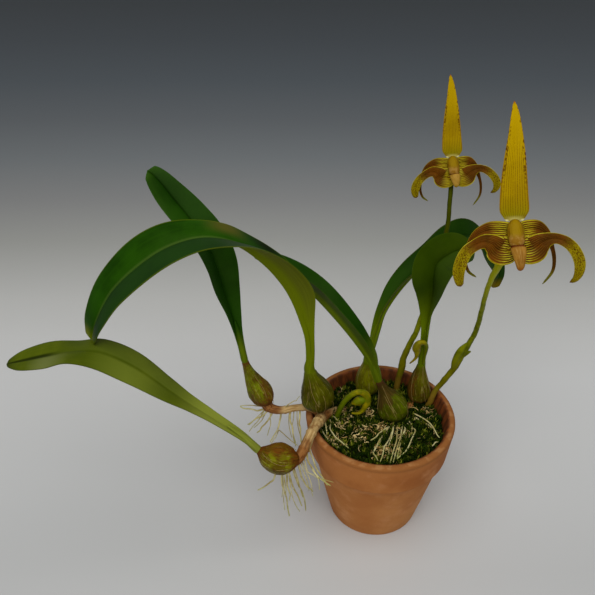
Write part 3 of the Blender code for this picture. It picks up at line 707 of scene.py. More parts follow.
def make_filling():
    """The filling: a flat foot, a tapered side and a lumpy top that closes in the middle."""
    edge = inner_radius(MIX_LEVEL - 1) - GAP
    filling, column, row = flat_grid("mossy_mix", MIX_COLUMNS, TOP_ROWS + 3)
    radii = [0.0, INNER_FLOOR_RADIUS - GAP, edge]
    radii += [edge * (1 - step / TOP_ROWS) for step in range(TOP_ROWS + 1)]
    radius = np.array(radii)[row]
    turn = 2 * math.pi * column
    x, y = radius * np.cos(turn), radius * np.sin(turn)
    crumbs = 0.5 * np.sin(1.9 * x + 1.3 * y) * np.sin(1.7 * y - 0.8 * x)
    crumbs += 0.35 * np.sin(3.3 * x) * np.cos(3.7 * y)
    z = np.where(row < 2, FLOOR_THICKNESS + GAP, mix_height(x, y) + crumbs)
    z = np.where((row == 2) | (row == 3), MIX_LEVEL - 1, z)
    put_points(filling, np.stack([x, y, z], axis=1))
    merge_touching()
    return filling


filling = make_filling()
print("the mix stands at", MIX_LEVEL, "mm and swells by", MIX_SWELL)


# %% Moss finishes
def soil_finish():
    """Dark damp peat and moss, seen between the shoots."""
    finish, shader = new_finish("dark mix", roughness=0.95, gloss=0.1)
    place = object_place()
    patches = ramp(noise(place, 160, 5), 0.4, 0.62)
    colour = mixed(patches, (16, 20, 4), (34, 40, 8))
    brown = ramp(noise(place, 90, 3), 0.55, 0.7)
    paint(shader, mixed(brown, colour, (60, 42, 16)))
    bumped(shader, noise(place, 700, 4), 0.0012, 0.9)
    return finish


def moss_finish():
    """Shoots bright at the tip by the shade each carries, dark at the foot as painted shade."""
    finish, shader = new_finish("living moss", roughness=0.6, gloss=0.15, sheen=GREEN_SHEEN)
    shade = attribute("shade")
    colour = mixed(ramp(shade, 0.0, 0.55), (22, 44, 4), (54, 72, 4))
    colour = mixed(ramp(shade, 0.6, 1.0), colour, (148, 152, 44))
    # Each shoot is painted near black at its foot: painted shade deep in the carpet.
    out_of_shade = ramp(attribute("tip"), 0.15, 0.8)
    paint(shader, mixed(out_of_shade, (10, 18, 2), colour))
    return finish


def straw_finish():
    """Dry threads of old moss, from buff to brown."""
    finish, shader = new_finish("straw", roughness=0.75, gloss=0.2)
    shade = attribute("shade")
    colour = mixed(shade, (150, 112, 50), (226, 200, 136))
    paint(shader, colour)
    return finish


coat(soil_finish(), filling)
hand_over(filling, "moss", "potting_mix")


# %% [markdown]
# Copies of one small model become one mesh, which is far lighter than thousands of
# objects. Each copy has a row: its place, its turn, its size and a shade, which the points
# carry, so that the finish can colour one shoot brighter than the next.

# %% Many copies of one model
def scattered(name, model, rows, finish):
    """One mesh with a copy of a model for each row of place, turn, size and shade."""
    spots, rolls, sizes, shades = (np.array(column) for column in zip(*rows))
    count = len(model.data.vertices)
    shape = np.empty(3 * count)
    model.data.vertices.foreach_get("co", shape)
    shape = shape.reshape(-1, 3)
    corners = [tuple(face.vertices) for face in model.data.polygons if len(face.vertices) == 3]
    turned = np.einsum("nij,kj->nki", rolls, shape) * sizes[:, None, None]
    points = turned + spots[:, None, :] * MM
    faces = np.array(corners)[None] + np.arange(len(rows))[:, None, None] * count
    mesh = bpy.data.meshes.new(name)
    mesh.from_pydata(points.reshape(-1, 3), [], faces.reshape(-1, 3))
    shade = mesh.attributes.new("shade", "FLOAT", "POINT")
    shade.data.foreach_set("value", np.repeat(shades, count))
    tip = mesh.attributes.new("tip", "FLOAT", "POINT")
    tip.data.foreach_set("value", np.tile(shape[:, 2] / shape[:, 2].max(), len(rows)))
    piece = bpy.data.objects.new(name, mesh)
    bpy.context.collection.objects.link(piece)
    mesh.materials.append(finish)
    bpy.data.objects.remove(model, do_unlink=True)
    return piece


def random_roll(dice, steep):
    """A turn about the upright, after a lean of up to that many degrees."""
    lean = Matrix.Rotation(math.radians(dice.uniform(-steep, steep)), 3, "X")
    return np.array(Matrix.Rotation(dice.uniform(0, 2 * math.pi), 3, "Z") @ lean)


# %% One leaflet of a shoot
LEAFLET_LENGTH, LEAFLET_RADIUS = 3.0, 0.75
LEAFLET_FLATNESS = 0.45


def leaflet(rise, turn, tilt):
    """One slim closed leaflet of a shoot, from a three-sided cone."""
    deselect()
    middle = (0, 0, LEAFLET_LENGTH / 2 * MM)
    bpy.ops.mesh.primitive_cone_add(
        vertices=3, radius1=LEAFLET_RADIUS * MM, depth=LEAFLET_LENGTH * MM, location=middle
    )
    cone = bpy.context.object
    cone.location = (0, 0, 0)
    lean = Matrix.Rotation(turn, 4, "Z") @ Matrix.Rotation(tilt, 4, "Y")
    flat = Matrix.Scale(LEAFLET_FLATNESS, 4, (1, 0, 0))
    lift = Matrix.Translation((0, 0, rise * MM))
    cone.data.transform(lift @ lean @ flat @ Matrix.Translation(middle))
    return cone


# %% Places on the moss
MOSS_EDGE = inner_radius(MIX_LEVEL) - 1.2


def anywhere(dice):
    """A place in the square that just holds the moss."""
    return dice.uniform(-MOSS_EDGE, MOSS_EDGE), dice.uniform(-MOSS_EDGE, MOSS_EDGE)


def moss_spot(dice):
    """A place inside the pot's wall."""
    while True:
        x, y = anywhere(dice)
        if math.hypot(x, y) <= MOSS_EDGE:
            return x, y


def on_moss(spot, lift):
    """A spot of the moss, that much above its surface."""
    return (*spot, mix_height(*spot) + lift)


# %% Moss shoots
MOSS_SHOOTS = 3000
LEAFLETS = 6
LEAFLET_STEP, LEAFLET_TURN = 0.35, 2.4  # how far up and around the next leaflet sits
FIRST_TILT, TILT_STEP = 72, 11  # degrees that the lowest leaflet leans, and the next less
SHOOT_LIFT = -0.4
SHOOT_LEAN = 35
SHOOT_SIZES = (0.55, 1.3)

dice = random.Random(3)
leaflets = []
for number in range(LEAFLETS):
    tilt = math.radians(FIRST_TILT - TILT_STEP * number)
    leaflets.append(leaflet(LEAFLET_STEP * number, LEAFLET_TURN * number, tilt))
shoot = joined("shoot", leaflets)
rows = []
for _ in range(MOSS_SHOOTS):
    spot = on_moss(moss_spot(dice), SHOOT_LIFT)
    roll = random_roll(dice, SHOOT_LEAN)
    rows.append((spot, roll, dice.uniform(*SHOOT_SIZES), dice.random() ** 2))
moss = scattered("moss_shoots", shoot, rows, moss_finish())
hand_over(moss, "moss")

# %% [markdown]
# Straw lies among the moss in loose clumps, mostly in front of the middle bulb, where old
# moss has died back. So most threads gather round a few spots, and the rest lie anywhere.

# %% One thread
def to_triangles():
    """Cut the selected piece's four-sided faces in two."""
    bpy.ops.object.mode_set(mode="EDIT")
    bpy.ops.mesh.select_all(action="SELECT")
    bpy.ops.mesh.quads_convert_to_tris()
    bpy.ops.object.mode_set(mode="OBJECT")


def thread_model(length, curl, radius):
    """A thin closed thread that lies curled, ready to be copied."""
    keys = []
    for share in np.linspace(0, 1, 5):
        bend = curl * math.sin(math.pi * share)
        rise = 0.5 * math.sin(2 * math.pi * share)
        keys.append((length * (share - 0.5), bend, rise, radius * (1.1 - 0.6 * share)))
    piece = stem("thread", keys, around=3, along=7)
    to_triangles()
    return piece


# %% Straw threads
THREADS = 420
THREAD_KINDS = ((6, 1.2, 0.46), (4, 0.7, 0.62), (9, -1.8, 0.34))  # length, curl and radius
THREAD_LIFTS = (0.8, 2.4)
THREAD_LEAN = 40
THREAD_PITCH = 0.25  # the most that a thread's end is tipped up, as an angle in radians
THREAD_SIZES = (0.5, 1.1)
CLUMPED = 0.85  # the share of the threads that lie in clumps
CLUMP_SPREAD = (3.6, 2.6)
STRAW_MARGIN = 3
STRAW_CLUMPS = [
    (-26, -5.5), (-11, -8.5), (1.5, -8.5), (-16.5, -19), (-2, -31), (16, -14),
    (-30, 35), (38, 10), (-26, 8), (-7, 8), (7, -29), (-35, -18),
]


def straw_spot(dice):
    """A place on the moss, in or out of a clump."""
    while True:
        x, y = anywhere(dice)
        if dice.random() < CLUMPED:
            middle = dice.choice(STRAW_CLUMPS)
            x, y = (dice.gauss(*pair) for pair in zip(middle, CLUMP_SPREAD))
        if math.hypot(x, y) < MOSS_EDGE - STRAW_MARGIN:
            return x, y


def thread_row(dice):
    """Where one thread lies, how it is turned, its size and its shade."""
    spot = on_moss(straw_spot(dice), dice.uniform(*THREAD_LIFTS))
    roll = random_roll(dice, THREAD_LEAN)
    pitch = Matrix.Rotation(dice.uniform(-THREAD_PITCH, THREAD_PITCH), 3, "Y")
    return spot, roll @ np.array(pitch), dice.uniform(*THREAD_SIZES), dice.random()


dice = random.Random(8)
straw = straw_finish()
pieces = []
for length, curl, radius in THREAD_KINDS:
    rows = [thread_row(dice) for _ in range(THREADS // len(THREAD_KINDS))]
    pieces.append(scattered("straw", thread_model(length, curl, radius), rows, straw))
hand_over(joined("straw_threads", pieces), "moss")

# %% [markdown]
# A few chips of bark from the mix lie on top. A chip is a block whose corners are broken
# off, copied in other sizes like the shoots and the straw.

# %% Bits of bark
BARK_BITS = 34
CHIP_SHAPE = (1.5, 0.9, 0.45)
CHIP_LIFT = 0.9
CHIP_LEAN = 30
CHIP_SIZES = (0.4, 1.1)


def bark_model():
    """A chip of bark: a block with broken corners."""
    deselect()
    bpy.ops.mesh.primitive_cube_add(size=2 * MM)
    bpy.ops.object.mode_set(mode="EDIT")
    bpy.ops.mesh.select_all(action="SELECT")
    bpy.ops.transform.resize(value=CHIP_SHAPE)
    bpy.ops.mesh.bevel(offset=0.3 * MM, segments=1, affect="EDGES")
    bpy.ops.object.mode_set(mode="OBJECT")
    to_triangles()
    return bpy.context.object


def bark_finish():
    """Brown bark, paler on some chips."""
    finish, shader = new_finish("bark chip", roughness=0.85)
    paint(shader, mixed(attribute("shade"), (84, 54, 26), (168, 122, 76)))
    bumped(shader, noise(object_place(), 1400, 3), 0.0003, 0.7)
    return finish


dice = random.Random(5)
rows = []
for _ in range(BARK_BITS):
    spot = on_moss(straw_spot(dice), CHIP_LIFT)
    roll = random_roll(dice, CHIP_LEAN)
    rows.append((spot, roll, dice.uniform(*CHIP_SIZES), dice.random()))
hand_over(scattered("bark_chips", bark_model(), rows, bark_finish()), "moss")

# %% [markdown]
# ## Pseudobulbs
# Each leaf grows from a swollen, ribbed storage stem. The bulbs are olive green with pale
# lines along their ribs, wrinkled where they have shrunk, and brown and papery at the foot
# and the neck, where the old sheaths have dried on. Each is a grid rolled up round the
# route of its solid, with its ribs raised by a formula. Dried fibres are laid over it.

# %% Bulb routes
PSEUDOBULBS = {
    "pseudobulb_front_left": [
        (-60.2, -44, 98.5, 4), (-64.5, -45.5, 99, 8.3), (-73, -46.5, 100, 11),
        (-81, -45, 101.5, 8.8), (-86.5, -43, 103.5, 4.2), (-88.7, -42.3, 104.8, 2.9),
    ],
    "pseudobulb_back_left": [
        (-83.2, 3, 102.5, 4), (-85, 4, 107, 7.4), (-89, 5, 115.5, 8.8), (-93, 6, 124, 6.2),
        (-96.2, 7, 132.5, 3.7), (-98.2, 7.8, 139, 2.6), (-99, 8, 142.5, 2.5),
    ],
    "pseudobulb_rim": [
        (-44, 1.5, 100, 5.5), (-44.8, 1.8, 104, 10.2), (-46.4, 2, 112, 12.3),
        (-48.6, 2.2, 121, 10.4), (-51.4, 3, 131, 5.8), (-52.8, 4, 138, 3.8),
    ],
    "pseudobulb_back": [
        (-6.5, 32.5, 87, 4.5), (-7, 32, 92, 8), (-7.6, 31.5, 100, 9), (-8.2, 31, 110, 6.8),
        (-8.6, 30.8, 118, 3.6), (-8.8, 30.8, 122, 2.8),
    ],
    "pseudobulb_centre": [
        (11, 5.6, 86, 5.2), (11.3, 6, 90.8, 10), (9.6, 6, 98, 11.6), (6.2, 6, 106.5, 8.6),
        (2.6, 5.8, 114.5, 4.4), (-0.6, 5.7, 121, 3.2), (-2.8, 5.9, 126, 2.5),
    ],
    "pseudobulb_right": [
        (32.8, 23.6, 87.3, 5), (32.2, 23.6, 92.5, 8.2), (31.6, 24, 101, 8.6),
        (31.2, 24.8, 111, 6.2), (31.5, 26, 119, 3.6), (31.8, 26.4, 123.5, 2.9),
    ],
}
print("pseudobulbs:", len(PSEUDOBULBS))

# %% Bulb ribs
BULB_RIBS = 6
RIB_DEPTH = 0.03


def bulb_relief(seed):
    """Ribs of uneven depth, with fine wrinkles between them."""
    def relief(turn, run):
        ribs = RIB_DEPTH * np.cos(BULB_RIBS * turn)
        wrinkles = 0.010 * np.sin(17 * turn + seed) * np.sin(0.7 * run + seed)
        return ribs + wrinkles + 0.006 * np.cos(29 * turn - 0.5 * run)
    return relief


# %% [markdown]
# Two dried layers lie over the green skin. One is the net that is left of an old sheath:
# brown threads that run along the bulb and branch. The other is a sheet of sheath that
# still clads one side, with a frayed edge. The finish paints both, because they are thinner
# than paper, and gives them a little height.

# %% Bulb finish
def bulb_finish(name, fresh, dark, dried, neck, brown_foot, brown_neck, net, husk):
    """Olive skin with pale ridges and brown threads, and dried brown sheath on part of it.

    The net is how plain the brown threads are. The husk is a way to look along, and the two
    distances that way, in metres, between which the dried sheath begins.
    """
    finish, shader = new_finish(name, gloss=0.1, sheen=WARM_SHEEN)
    place = object_place()
    uv, around, along = uv_place()
    clouds = noise(place, 110, 4)
    colour = mixed(ramp(clouds, 0.34, 0.66), dark, fresh)
    fibres = streaky(uv, 90, 3.5)
    colour = mixed(ramp(fibres, 0.5, 0.72) * 0.35, colour, (128, 116, 34))
    drift = streaky(uv, 5, 3, 2) * 1.6
    ridges = fraction(around * 13 + drift)
    broken = ramp(noise(place, 240, 2), 0.4, 0.58)
    line = peak(ridges, 0.5, 0.09) * broken
    colour = mixed(line * (0.25 + 0.35 * net), colour, (168, 152, 84))
    threads = peak(fraction(around * 11 + drift * 2.2), 0.5, 0.16)
    meshes = peak(streaky(uv, 22, 8), 0.5, 0.06)
    torn = ramp(noise(place, 170, 3), 0.36, 0.56)
    veins = larger(threads, meshes) * torn
    colour = mixed(veins * net, colour, dried)
    colour = mixed(ramp(along, 0.7, 1.0) * 0.8, colour, neck)
    patches = streaky(uv, 7, 3, 5, 0.65)
    foot = clamped(ramp(along, brown_foot, 0.0) + ramp(along, 1 - brown_neck, 1.0))
    paper = ramp(patches + foot * 0.5, 0.58, 0.92)
    way, begins, full = husk
    reach = node("VectorMath", {0: place, 1: way}, "Value", operation="DOT_PRODUCT")
    frayed = (streaky(uv, 9, 5, 4) - 0.5) * 0.018
    paper = larger(paper, ramp(reach + frayed, begins, full) * 0.75)
    streaks = mixed(ramp(fibres, 0.4, 0.62), dried, toned(dried, 1.9))
    colour = mixed(paper, colour, streaks)
    paint(shader, colour)
    wire(shader.inputs["Roughness"], 0.42 + paper * 0.35)
    bumped(shader, fibres + paper * 0.6 + veins, 0.0004, 0.7)
    return finish


# %% The tones of each bulb
BULB_LOOKS = {
    "pseudobulb_front_left": (
        (116, 118, 6), (82, 66, 4), (84, 44, 8), (112, 66, 16), 0.5, 0.45, 0.85,
        ((0, 0.58, 0.815), 0.0565, 0.0615),
    ),
    "pseudobulb_back_left": (
        (116, 128, 8), (86, 84, 6), (88, 50, 14), (92, 70, 20), 0.5, 0.35, 0.85,
        ((0.92, 0, 0.37), -0.035, -0.031),
    ),
    "pseudobulb_rim": (
        (78, 80, 0), (56, 54, 0), (72, 46, 6), (90, 102, 2), 0.22, 0, 0.2,
        ((0, 0, -1), -0.103, -0.096),
    ),
    "pseudobulb_back": (
        (122, 124, 6), (88, 88, 4), (92, 62, 20), (100, 112, 6), 0.3, 0, 0.35,
        ((0, 0, -1), -0.095, -0.089),
    ),
    "pseudobulb_centre": (
        (84, 98, 0), (60, 68, 0), (60, 38, 16), (66, 42, 22), 0.32, 0.4, 0.35,
        ((-0.743, 0, 0.669), 0.0655, 0.07),
    ),
    "pseudobulb_right": (
        (90, 88, 4), (66, 60, 2), (80, 48, 12), (90, 104, 4), 0.4, 0.05, 0.6,
        ((-1, 0, 0), -0.028, -0.025),
    ),
}
print("bulbs with tones of their own:", len(BULB_LOOKS))


# %% Dried fibres and making the bulbs
FIBRES = 9
FIBRE_ROWS = 24
FIBRE_RADIUS = 0.14
FIBRE_STARTS = (0.0, 0.5)  # as shares of the way from the bulb's foot to its neck
FIBRE_LENGTHS = (0.25, 0.6)
FIBRE_LIFT = 0.05


def fibre_strands(name, keys, dice):
    """Dried fibres that cling to a bulb from its foot towards its neck."""
    rows = smooth(keys, FIBRE_ROWS)
    _, sides, others = frames(rows[:, :3])
    strands = []
    for number in range(FIBRES):
        turn = dice.uniform(0, 2 * math.pi)
        start = dice.uniform(*FIBRE_STARTS)
        end = min(1.0, start + dice.uniform(*FIBRE_LENGTHS))
        route = []
        for share in np.linspace(start, end, 6):
            row = int(round(share * FIBRE_ROWS))
            lie = turn + 0.25 * math.sin(5 * share + number)
            out = math.cos(lie) * sides[row] + math.sin(lie) * others[row]
            reach = rows[row, 3] * (1 + RIB_DEPTH * math.cos(BULB_RIBS * lie)) + FIBRE_LIFT
            route.append((*(rows[row, :3] + reach * out), FIBRE_RADIUS))
        strands.append(stem(f"{name}_fibre", route, around=4, along=14))
    return strands


dried, dried_shader = new_finish("dried fibre", roughness=0.8)
paint(dried_shader, (142, 118, 62))
dice = random.Random(12)
for number, (name, keys) in enumerate(PSEUDOBULBS.items()):
    bulb = stem(name + "_skin", keys, around=72, along=64, relief=bulb_relief(number))
    coat(bulb_finish(name + " skin", *BULB_LOOKS[name]), bulb)
    strands = fibre_strands(name, keys, dice)
    coat(dried, *strands)
    hand_over(joined(name + "_skin", [bulb] + strands), "bulb", name)

# %% [markdown]
# ## Rhizome and roots
# The creeping stem ties the plant together. It is straw coloured, with a ring every few
# millimetres where a scale leaf once sat, and brown near the bulbs. Wiry roots hang from
# it or run over the moss. Runners and roots are stems along the solid's own routes.

# %% Routes of the runners
RUNNERS = {
    "over_front_rim": [
        (-43, 0, 94.5, 4.2), (-44.5, -8, 99.5, 4.4), (-47, -16, 103.2, 3.9),
        (-50, -23, 104.4, 3.7), (-53.8, -32, 103.2, 3.6), (-57.4, -38.5, 99.4, 3.8),
        (-61.5, -43.5, 96, 4), (-67, -46, 96, 3.4), (-72, -46.5, 98, 2.4),
    ],
    "over_left_rim": [
        (-43, 0, 94.5, 3.2), (-50, 0.5, 101.3, 2.7), (-57, 1.2, 102.2, 2.6),
        (-64, 1.2, 101.4, 2.7), (-71, 1, 99.8, 2.9), (-77, 1.6, 99.4, 3.3), (-82, 2.6, 101, 3.8),
        (-85, 3.5, 105, 4.2), (-87, 4.5, 110, 4),
    ],
    "across_the_moss": [
        (-43, 0, 94.5, 4), (-38.5, 6, 91, 3.4), (-29, 13, 87.5, 3), (-14, 13, 86.5, 3),
        (0, 8, 84.5, 3), (10, 7, 83.6, 3), (18, 11, 85.6, 3.2), (24, 16.5, 87.4, 3.8),
        (30, 22, 84.6, 3.2), (36, 26, 83.6, 2.8),
    ],
    "to_the_back_bulb": [
        (-14, 13, 86.5, 2.8), (-10, 20, 85.4, 2.8), (-7, 30, 83.4, 2.8), (-6, 36, 83.4, 2.2),
    ],
}
print("runners:", len(RUNNERS))

# %% Routes of the roots
HANGING_ROOTS = [
    [(-74, -46, 91), (-78, -46, 78), (-84, -45, 70), (-90, -44, 64)],
    [(-72, -46, 91), (-72, -46, 72), (-69, -45, 56), (-67, -45, 36)],
    [(-70, -46, 91), (-68.5, -47, 73), (-66.5, -46, 62), (-67, -45, 54)],
    [(-68, -46, 92), (-65, -47, 74), (-61, -47, 62), (-58, -47, 50)],
    [(-65, -45, 93), (-61.5, -46, 76), (-58, -45, 64), (-55, -42, 38)],
    [(-62, -43, 95), (-58.5, -45, 80), (-54, -46, 70), (-50, -47, 66)],
    [(-55, -34, 102), (-54, -42, 93), (-49, -51, 90), (-38, -57, 84)],
    [(-50, -24, 103), (-52.5, -31, 92), (-48, -41, 84), (-40, -50, 76)],
    [(-83, 2.5, 101), (-91, 2, 98), (-97, 2.5, 99.5), (-104, 3, 101.5)],
    [(-81.5, 2.5, 100), (-88, 1, 93), (-94, 0, 90), (-98, 0, 85)],
    [(-79, 2, 99), (-83, 0.5, 90), (-88, -1, 84), (-92, -2, 79)],
    [(-73.5, 1, 98.5), (-74.5, -1, 90), (-77.5, -3, 80), (-82, -5, 72)],
    [(-66, 1.2, 100), (-66.5, -3, 92), (-64.5, -8, 84), (-62.5, -10, 76)],
    [(-59.5, 1.2, 100.2), (-60, -6, 93), (-59, -11, 86), (-58.5, -14, 81)],
]
MOSS_ROOTS = [
    [(-42, -1, 94.5), (-39.5, -14), (-34, -24), (-24, -32)],
    [(11, 7.3, 83.8), (9, -10), (5, -24), (2, -38)],
    [(8, 7.2, 83.8), (4, -9), (-1, -20), (-7, -30)],
    [(14, 8.6, 84.4), (18, -9), (13, -22), (9, -36)],
    [(17, 10.3, 85.2), (23, -4), (22, -14), (15, -24)],
    [(20, 12.8, 86), (28, 3), (36, -4), (42, -12)],
]
print("roots:", len(HANGING_ROOTS), "hanging and", len(MOSS_ROOTS), "on the moss")

# %% [markdown]
# Between the wiry roots hang finer ones, and short white roots, still young, arch over the
# moss. Each follows a few places of its own, because a rule would lay them too evenly.

# %% Routes of the fine and white roots
FINE_ROOTS = [
    [(-71.4, -46, 91), (-69.5, -46, 68), (-68.8, -46, 55), (-67.5, -47, 38)],
    [(-70.7, -47, 91), (-70.9, -48, 66), (-70.4, -46, 44)],
    [(-67.9, -46, 92), (-65.2, -48, 64), (-59.4, -46, 42.5)],
    [(-72.5, -45, 91), (-71.5, -44, 70), (-72.5, -44, 56)],
    [(-64.5, -44, 93), (-60.5, -46, 76), (-57.2, -46, 58.2)],
    [(-60.2, -42, 96), (-55.2, -46, 79.7), (-53, -46, 65.8)],
    [(-57.5, -38, 98), (-54, -48, 88.5), (-47, -52, 86.4), (-36, -52, 82)],
    [(-58, -38, 99), (-53, -45, 94), (-47, -54, 88), (-46, -57, 80)],
    [(-59.5, -40, 93), (-55, -44, 84), (-51, -48, 72), (-50, -48, 62)],
    [(-85.5, 2.5, 102), (-94.8, 3, 102.5), (-103.8, 3, 101.9)],
    [(-84, 3, 101), (-92.3, 3, 89.5), (-99.4, 3, 82.2)],
    [(-83.5, 3, 101), (-90.9, 3, 86.4), (-98.2, 3, 74.7)],
    [(-82.5, 3, 100), (-87.9, 3, 87.4), (-94.2, 3, 79)],
    [(-81.5, 2, 97.5), (-81.3, 0, 86.3), (-84.1, 0, 73.5)],
    [(-75.2, 0, 80), (-77.6, 0, 72.4), (-81.5, 0, 64.8)],
    [(-75.2, 0, 80), (-68.4, 0, 71.3), (-60.8, -4, 67)],
    [(-66.7, 1, 100), (-67.6, 0, 86.3), (-65.4, 0, 71.3)],
    [(-61.6, 1, 100), (-60.5, -5, 86.3), (-57.8, -10, 74)],
    [(-63.8, 1, 100), (-65.3, 0, 82), (-62.4, -2, 63.7)],
    [(-70.4, 1, 103), (-65.9, 0, 108), (-62, 0, 110), (-59.5, 0, 114.8)],
]
WHITE_ROOTS = [
    [(-36.8, 2.5), (-37.3, -9.8), (-33.2, -18.8), (-24.4, -28.4)],
    [(-44, -6.8), (-41.9, -13.8), (-37.8, -21.6)],
    [(20.3, -2.7), (25, -11.8), (17, -29.4), (8.1, -38.7)],
    [(13.1, -3.8), (9.8, -23.6), (3.6, -41.5)],
    [(10.8, -4.8), (6.1, -17.8), (0.7, -28.4), (-3.5, -41.4)],
    [(17, -3.8), (13.1, -19.8), (5.7, -41.5)],
    [(7.4, -5.8), (-3.2, -23.6), (-7.6, -33.2), (-4.8, -40.5)],
    [(25.2, 6.7), (35.2, -2.7), (39.6, -12.8), (42.5, -16.8)],
    [(6, -7), (0.6, -13.8), (-4.2, -18.8), (-8.8, -21.7)],
    [(-34.5, 4.6), (-32.4, 0.4), (-29.6, -2.7)], [(35.4, -25.6), (38, -23.6), (41.1, -19.8)],
]
print("fine roots:", len(FINE_ROOTS), "white roots:", len(WHITE_ROOTS))

# %% Rhizome finishes
RING_SPACING = 13.0


def ringed(turn, run):
    """Rings round a runner, each with a shoulder, and slight furrows along it."""
    near = np.abs((run + 2.0) % RING_SPACING - RING_SPACING / 2)
    return 0.15 * np.exp(-((near / 0.8) ** 2)) + 0.012 * np.cos(7 * turn + 0.2 * run) - 0.03


def runner_finish():
    """Pale straw, grey tan in places, brown along its last third and in streaks."""
    finish, shader = new_finish("dry rhizome", roughness=0.7, gloss=0.15)
    place = object_place()
    uv, _, along = uv_place()
    streaks = streaky(uv, 16, 7, 5, 0.65)
    colour = mixed(ramp(streaks, 0.3, 0.66), (150, 114, 62), (200, 168, 112))
    colour = mixed(ramp(noise(place, 130, 4), 0.5, 0.66) * 0.75, colour, (118, 74, 30))
    ends = clamped(ramp(along, 0.46, 0.62) + ramp(along, 0.2, 0.06))
    rust = mixed(ramp(streaks, 0.36, 0.6), (92, 46, 12), (142, 88, 36))
    colour = mixed(ends * 0.92, colour, rust)
    paint(shader, colour)
    bumped(shader, streaks, 0.0004, 0.7)
    return finish


def root_finish():
    """Pale root skin, greenish towards the tip and tan where it has aged."""
    finish, shader = new_finish("root skin", roughness=0.6, gloss=0.2)
    place = object_place()
    _, _, along = uv_place()
    colour = clouded(place, 120, (206, 196, 140), (166, 150, 88), 0.4, 0.62)
    colour = mixed(ramp(along, 0.5, 1.0) * 0.5, colour, (168, 172, 96))
    paint(shader, colour)
    bumped(shader, noise(place, 900, 3), 0.0002, 0.6)
    return finish


# %% Keys of the roots
MOSS_ROOT_LIFT, MOSS_ROOT_RADII = 1.5, (0.62, 0.60)  # on the rhizome, and on the moss
WHITE_ROOT_LIFTS = (1.6, 3.4, 2.4)  # where it starts, along its arch, and where it ends
WHITE_ROOT_RADII = (0.5, 0.48, 0.4)


def wavering(keys, dice, amount):
    """Extra keys between a root's own, each a little off the straight line."""
    out = [keys[0]]
    for start, end in zip(keys, keys[1:]):
        middle = [(a + b) / 2 + dice.uniform(-amount, amount) for a, b in zip(start[:3], end[:3])]
        out.append((*middle, (start[3] + end[3]) / 2))
        out.append(end)
    return out


def roots(name, routes, dice, waver, around, along):
    """Roots along their routes, each wavering by up to that many millimetres."""
    return [stem(name, wavering(keys, dice, waver), around, along) for keys in routes]


def thinning(route, radius, loss):
    """Keys along a route of a root that gets thinner by that much at each."""
    return [(*spot, radius - loss * number) for number, spot in enumerate(route)]


def moss_root(route):
    """Keys of a root that leaves the rhizome and runs over the moss."""
    first, rest = MOSS_ROOT_RADII
    return [(*route[0], first)] + [(*on_moss(spot, MOSS_ROOT_LIFT), rest) for spot in route[1:]]


def white_root(route):
    """Keys of a young root that arches over the moss and dips back into it."""
    stretches = zip((route[:1], route[1:-1], route[-1:]), WHITE_ROOT_LIFTS, WHITE_ROOT_RADII)
    return [(*on_moss(spot, lift), radius) for spots, lift, radius in stretches for spot in spots]


# %% Making the rhizome
RUNNER_ROWS = 1.6  # rows to a millimetre, so that each ring is round

parts = []
for keys in RUNNERS.values():
    length = travelled(smooth(keys, 40)[:, :3])[-1]
    rows = int(length * RUNNER_ROWS)
    parts.append(stem("runner", keys, around=28, along=rows, relief=ringed))
coat(runner_finish(), *parts)
dice = random.Random(21)
hanging = [thinning(route, radius=0.72, loss=0.10) for route in HANGING_ROOTS]
on_the_moss = [moss_root(route) for route in MOSS_ROOTS]
fine = [thinning(route, radius=0.40, loss=0.06) for route in FINE_ROOTS]
white = [white_root(route) for route in WHITE_ROOTS]
parts += roots("root", hanging, dice, waver=0.6, around=8, along=40)
parts += roots("moss_root", on_the_moss, dice, waver=0.7, around=8, along=48)
parts += roots("fine_root", fine, dice, waver=0.5, around=6, along=32)
parts += roots("white_root", white, dice, waver=0.45, around=6, along=40)
coat(root_finish(), *parts[len(RUNNERS):])
hand_over(joined("rhizome_and_roots", parts), "rhizome", "rhizome")

# %% [markdown]
# ## Leaves
# Each leaf is one leathery blade on a folded stalk. It has a groove along its middle, fine
# veins that run its length and a thin pale margin. The upper side is deep glossy green and
# the lower side paler and duller, so the finish asks which side a face is on. Each row
# of a route gives a place, the way the upper side faces, the half width and the fold.

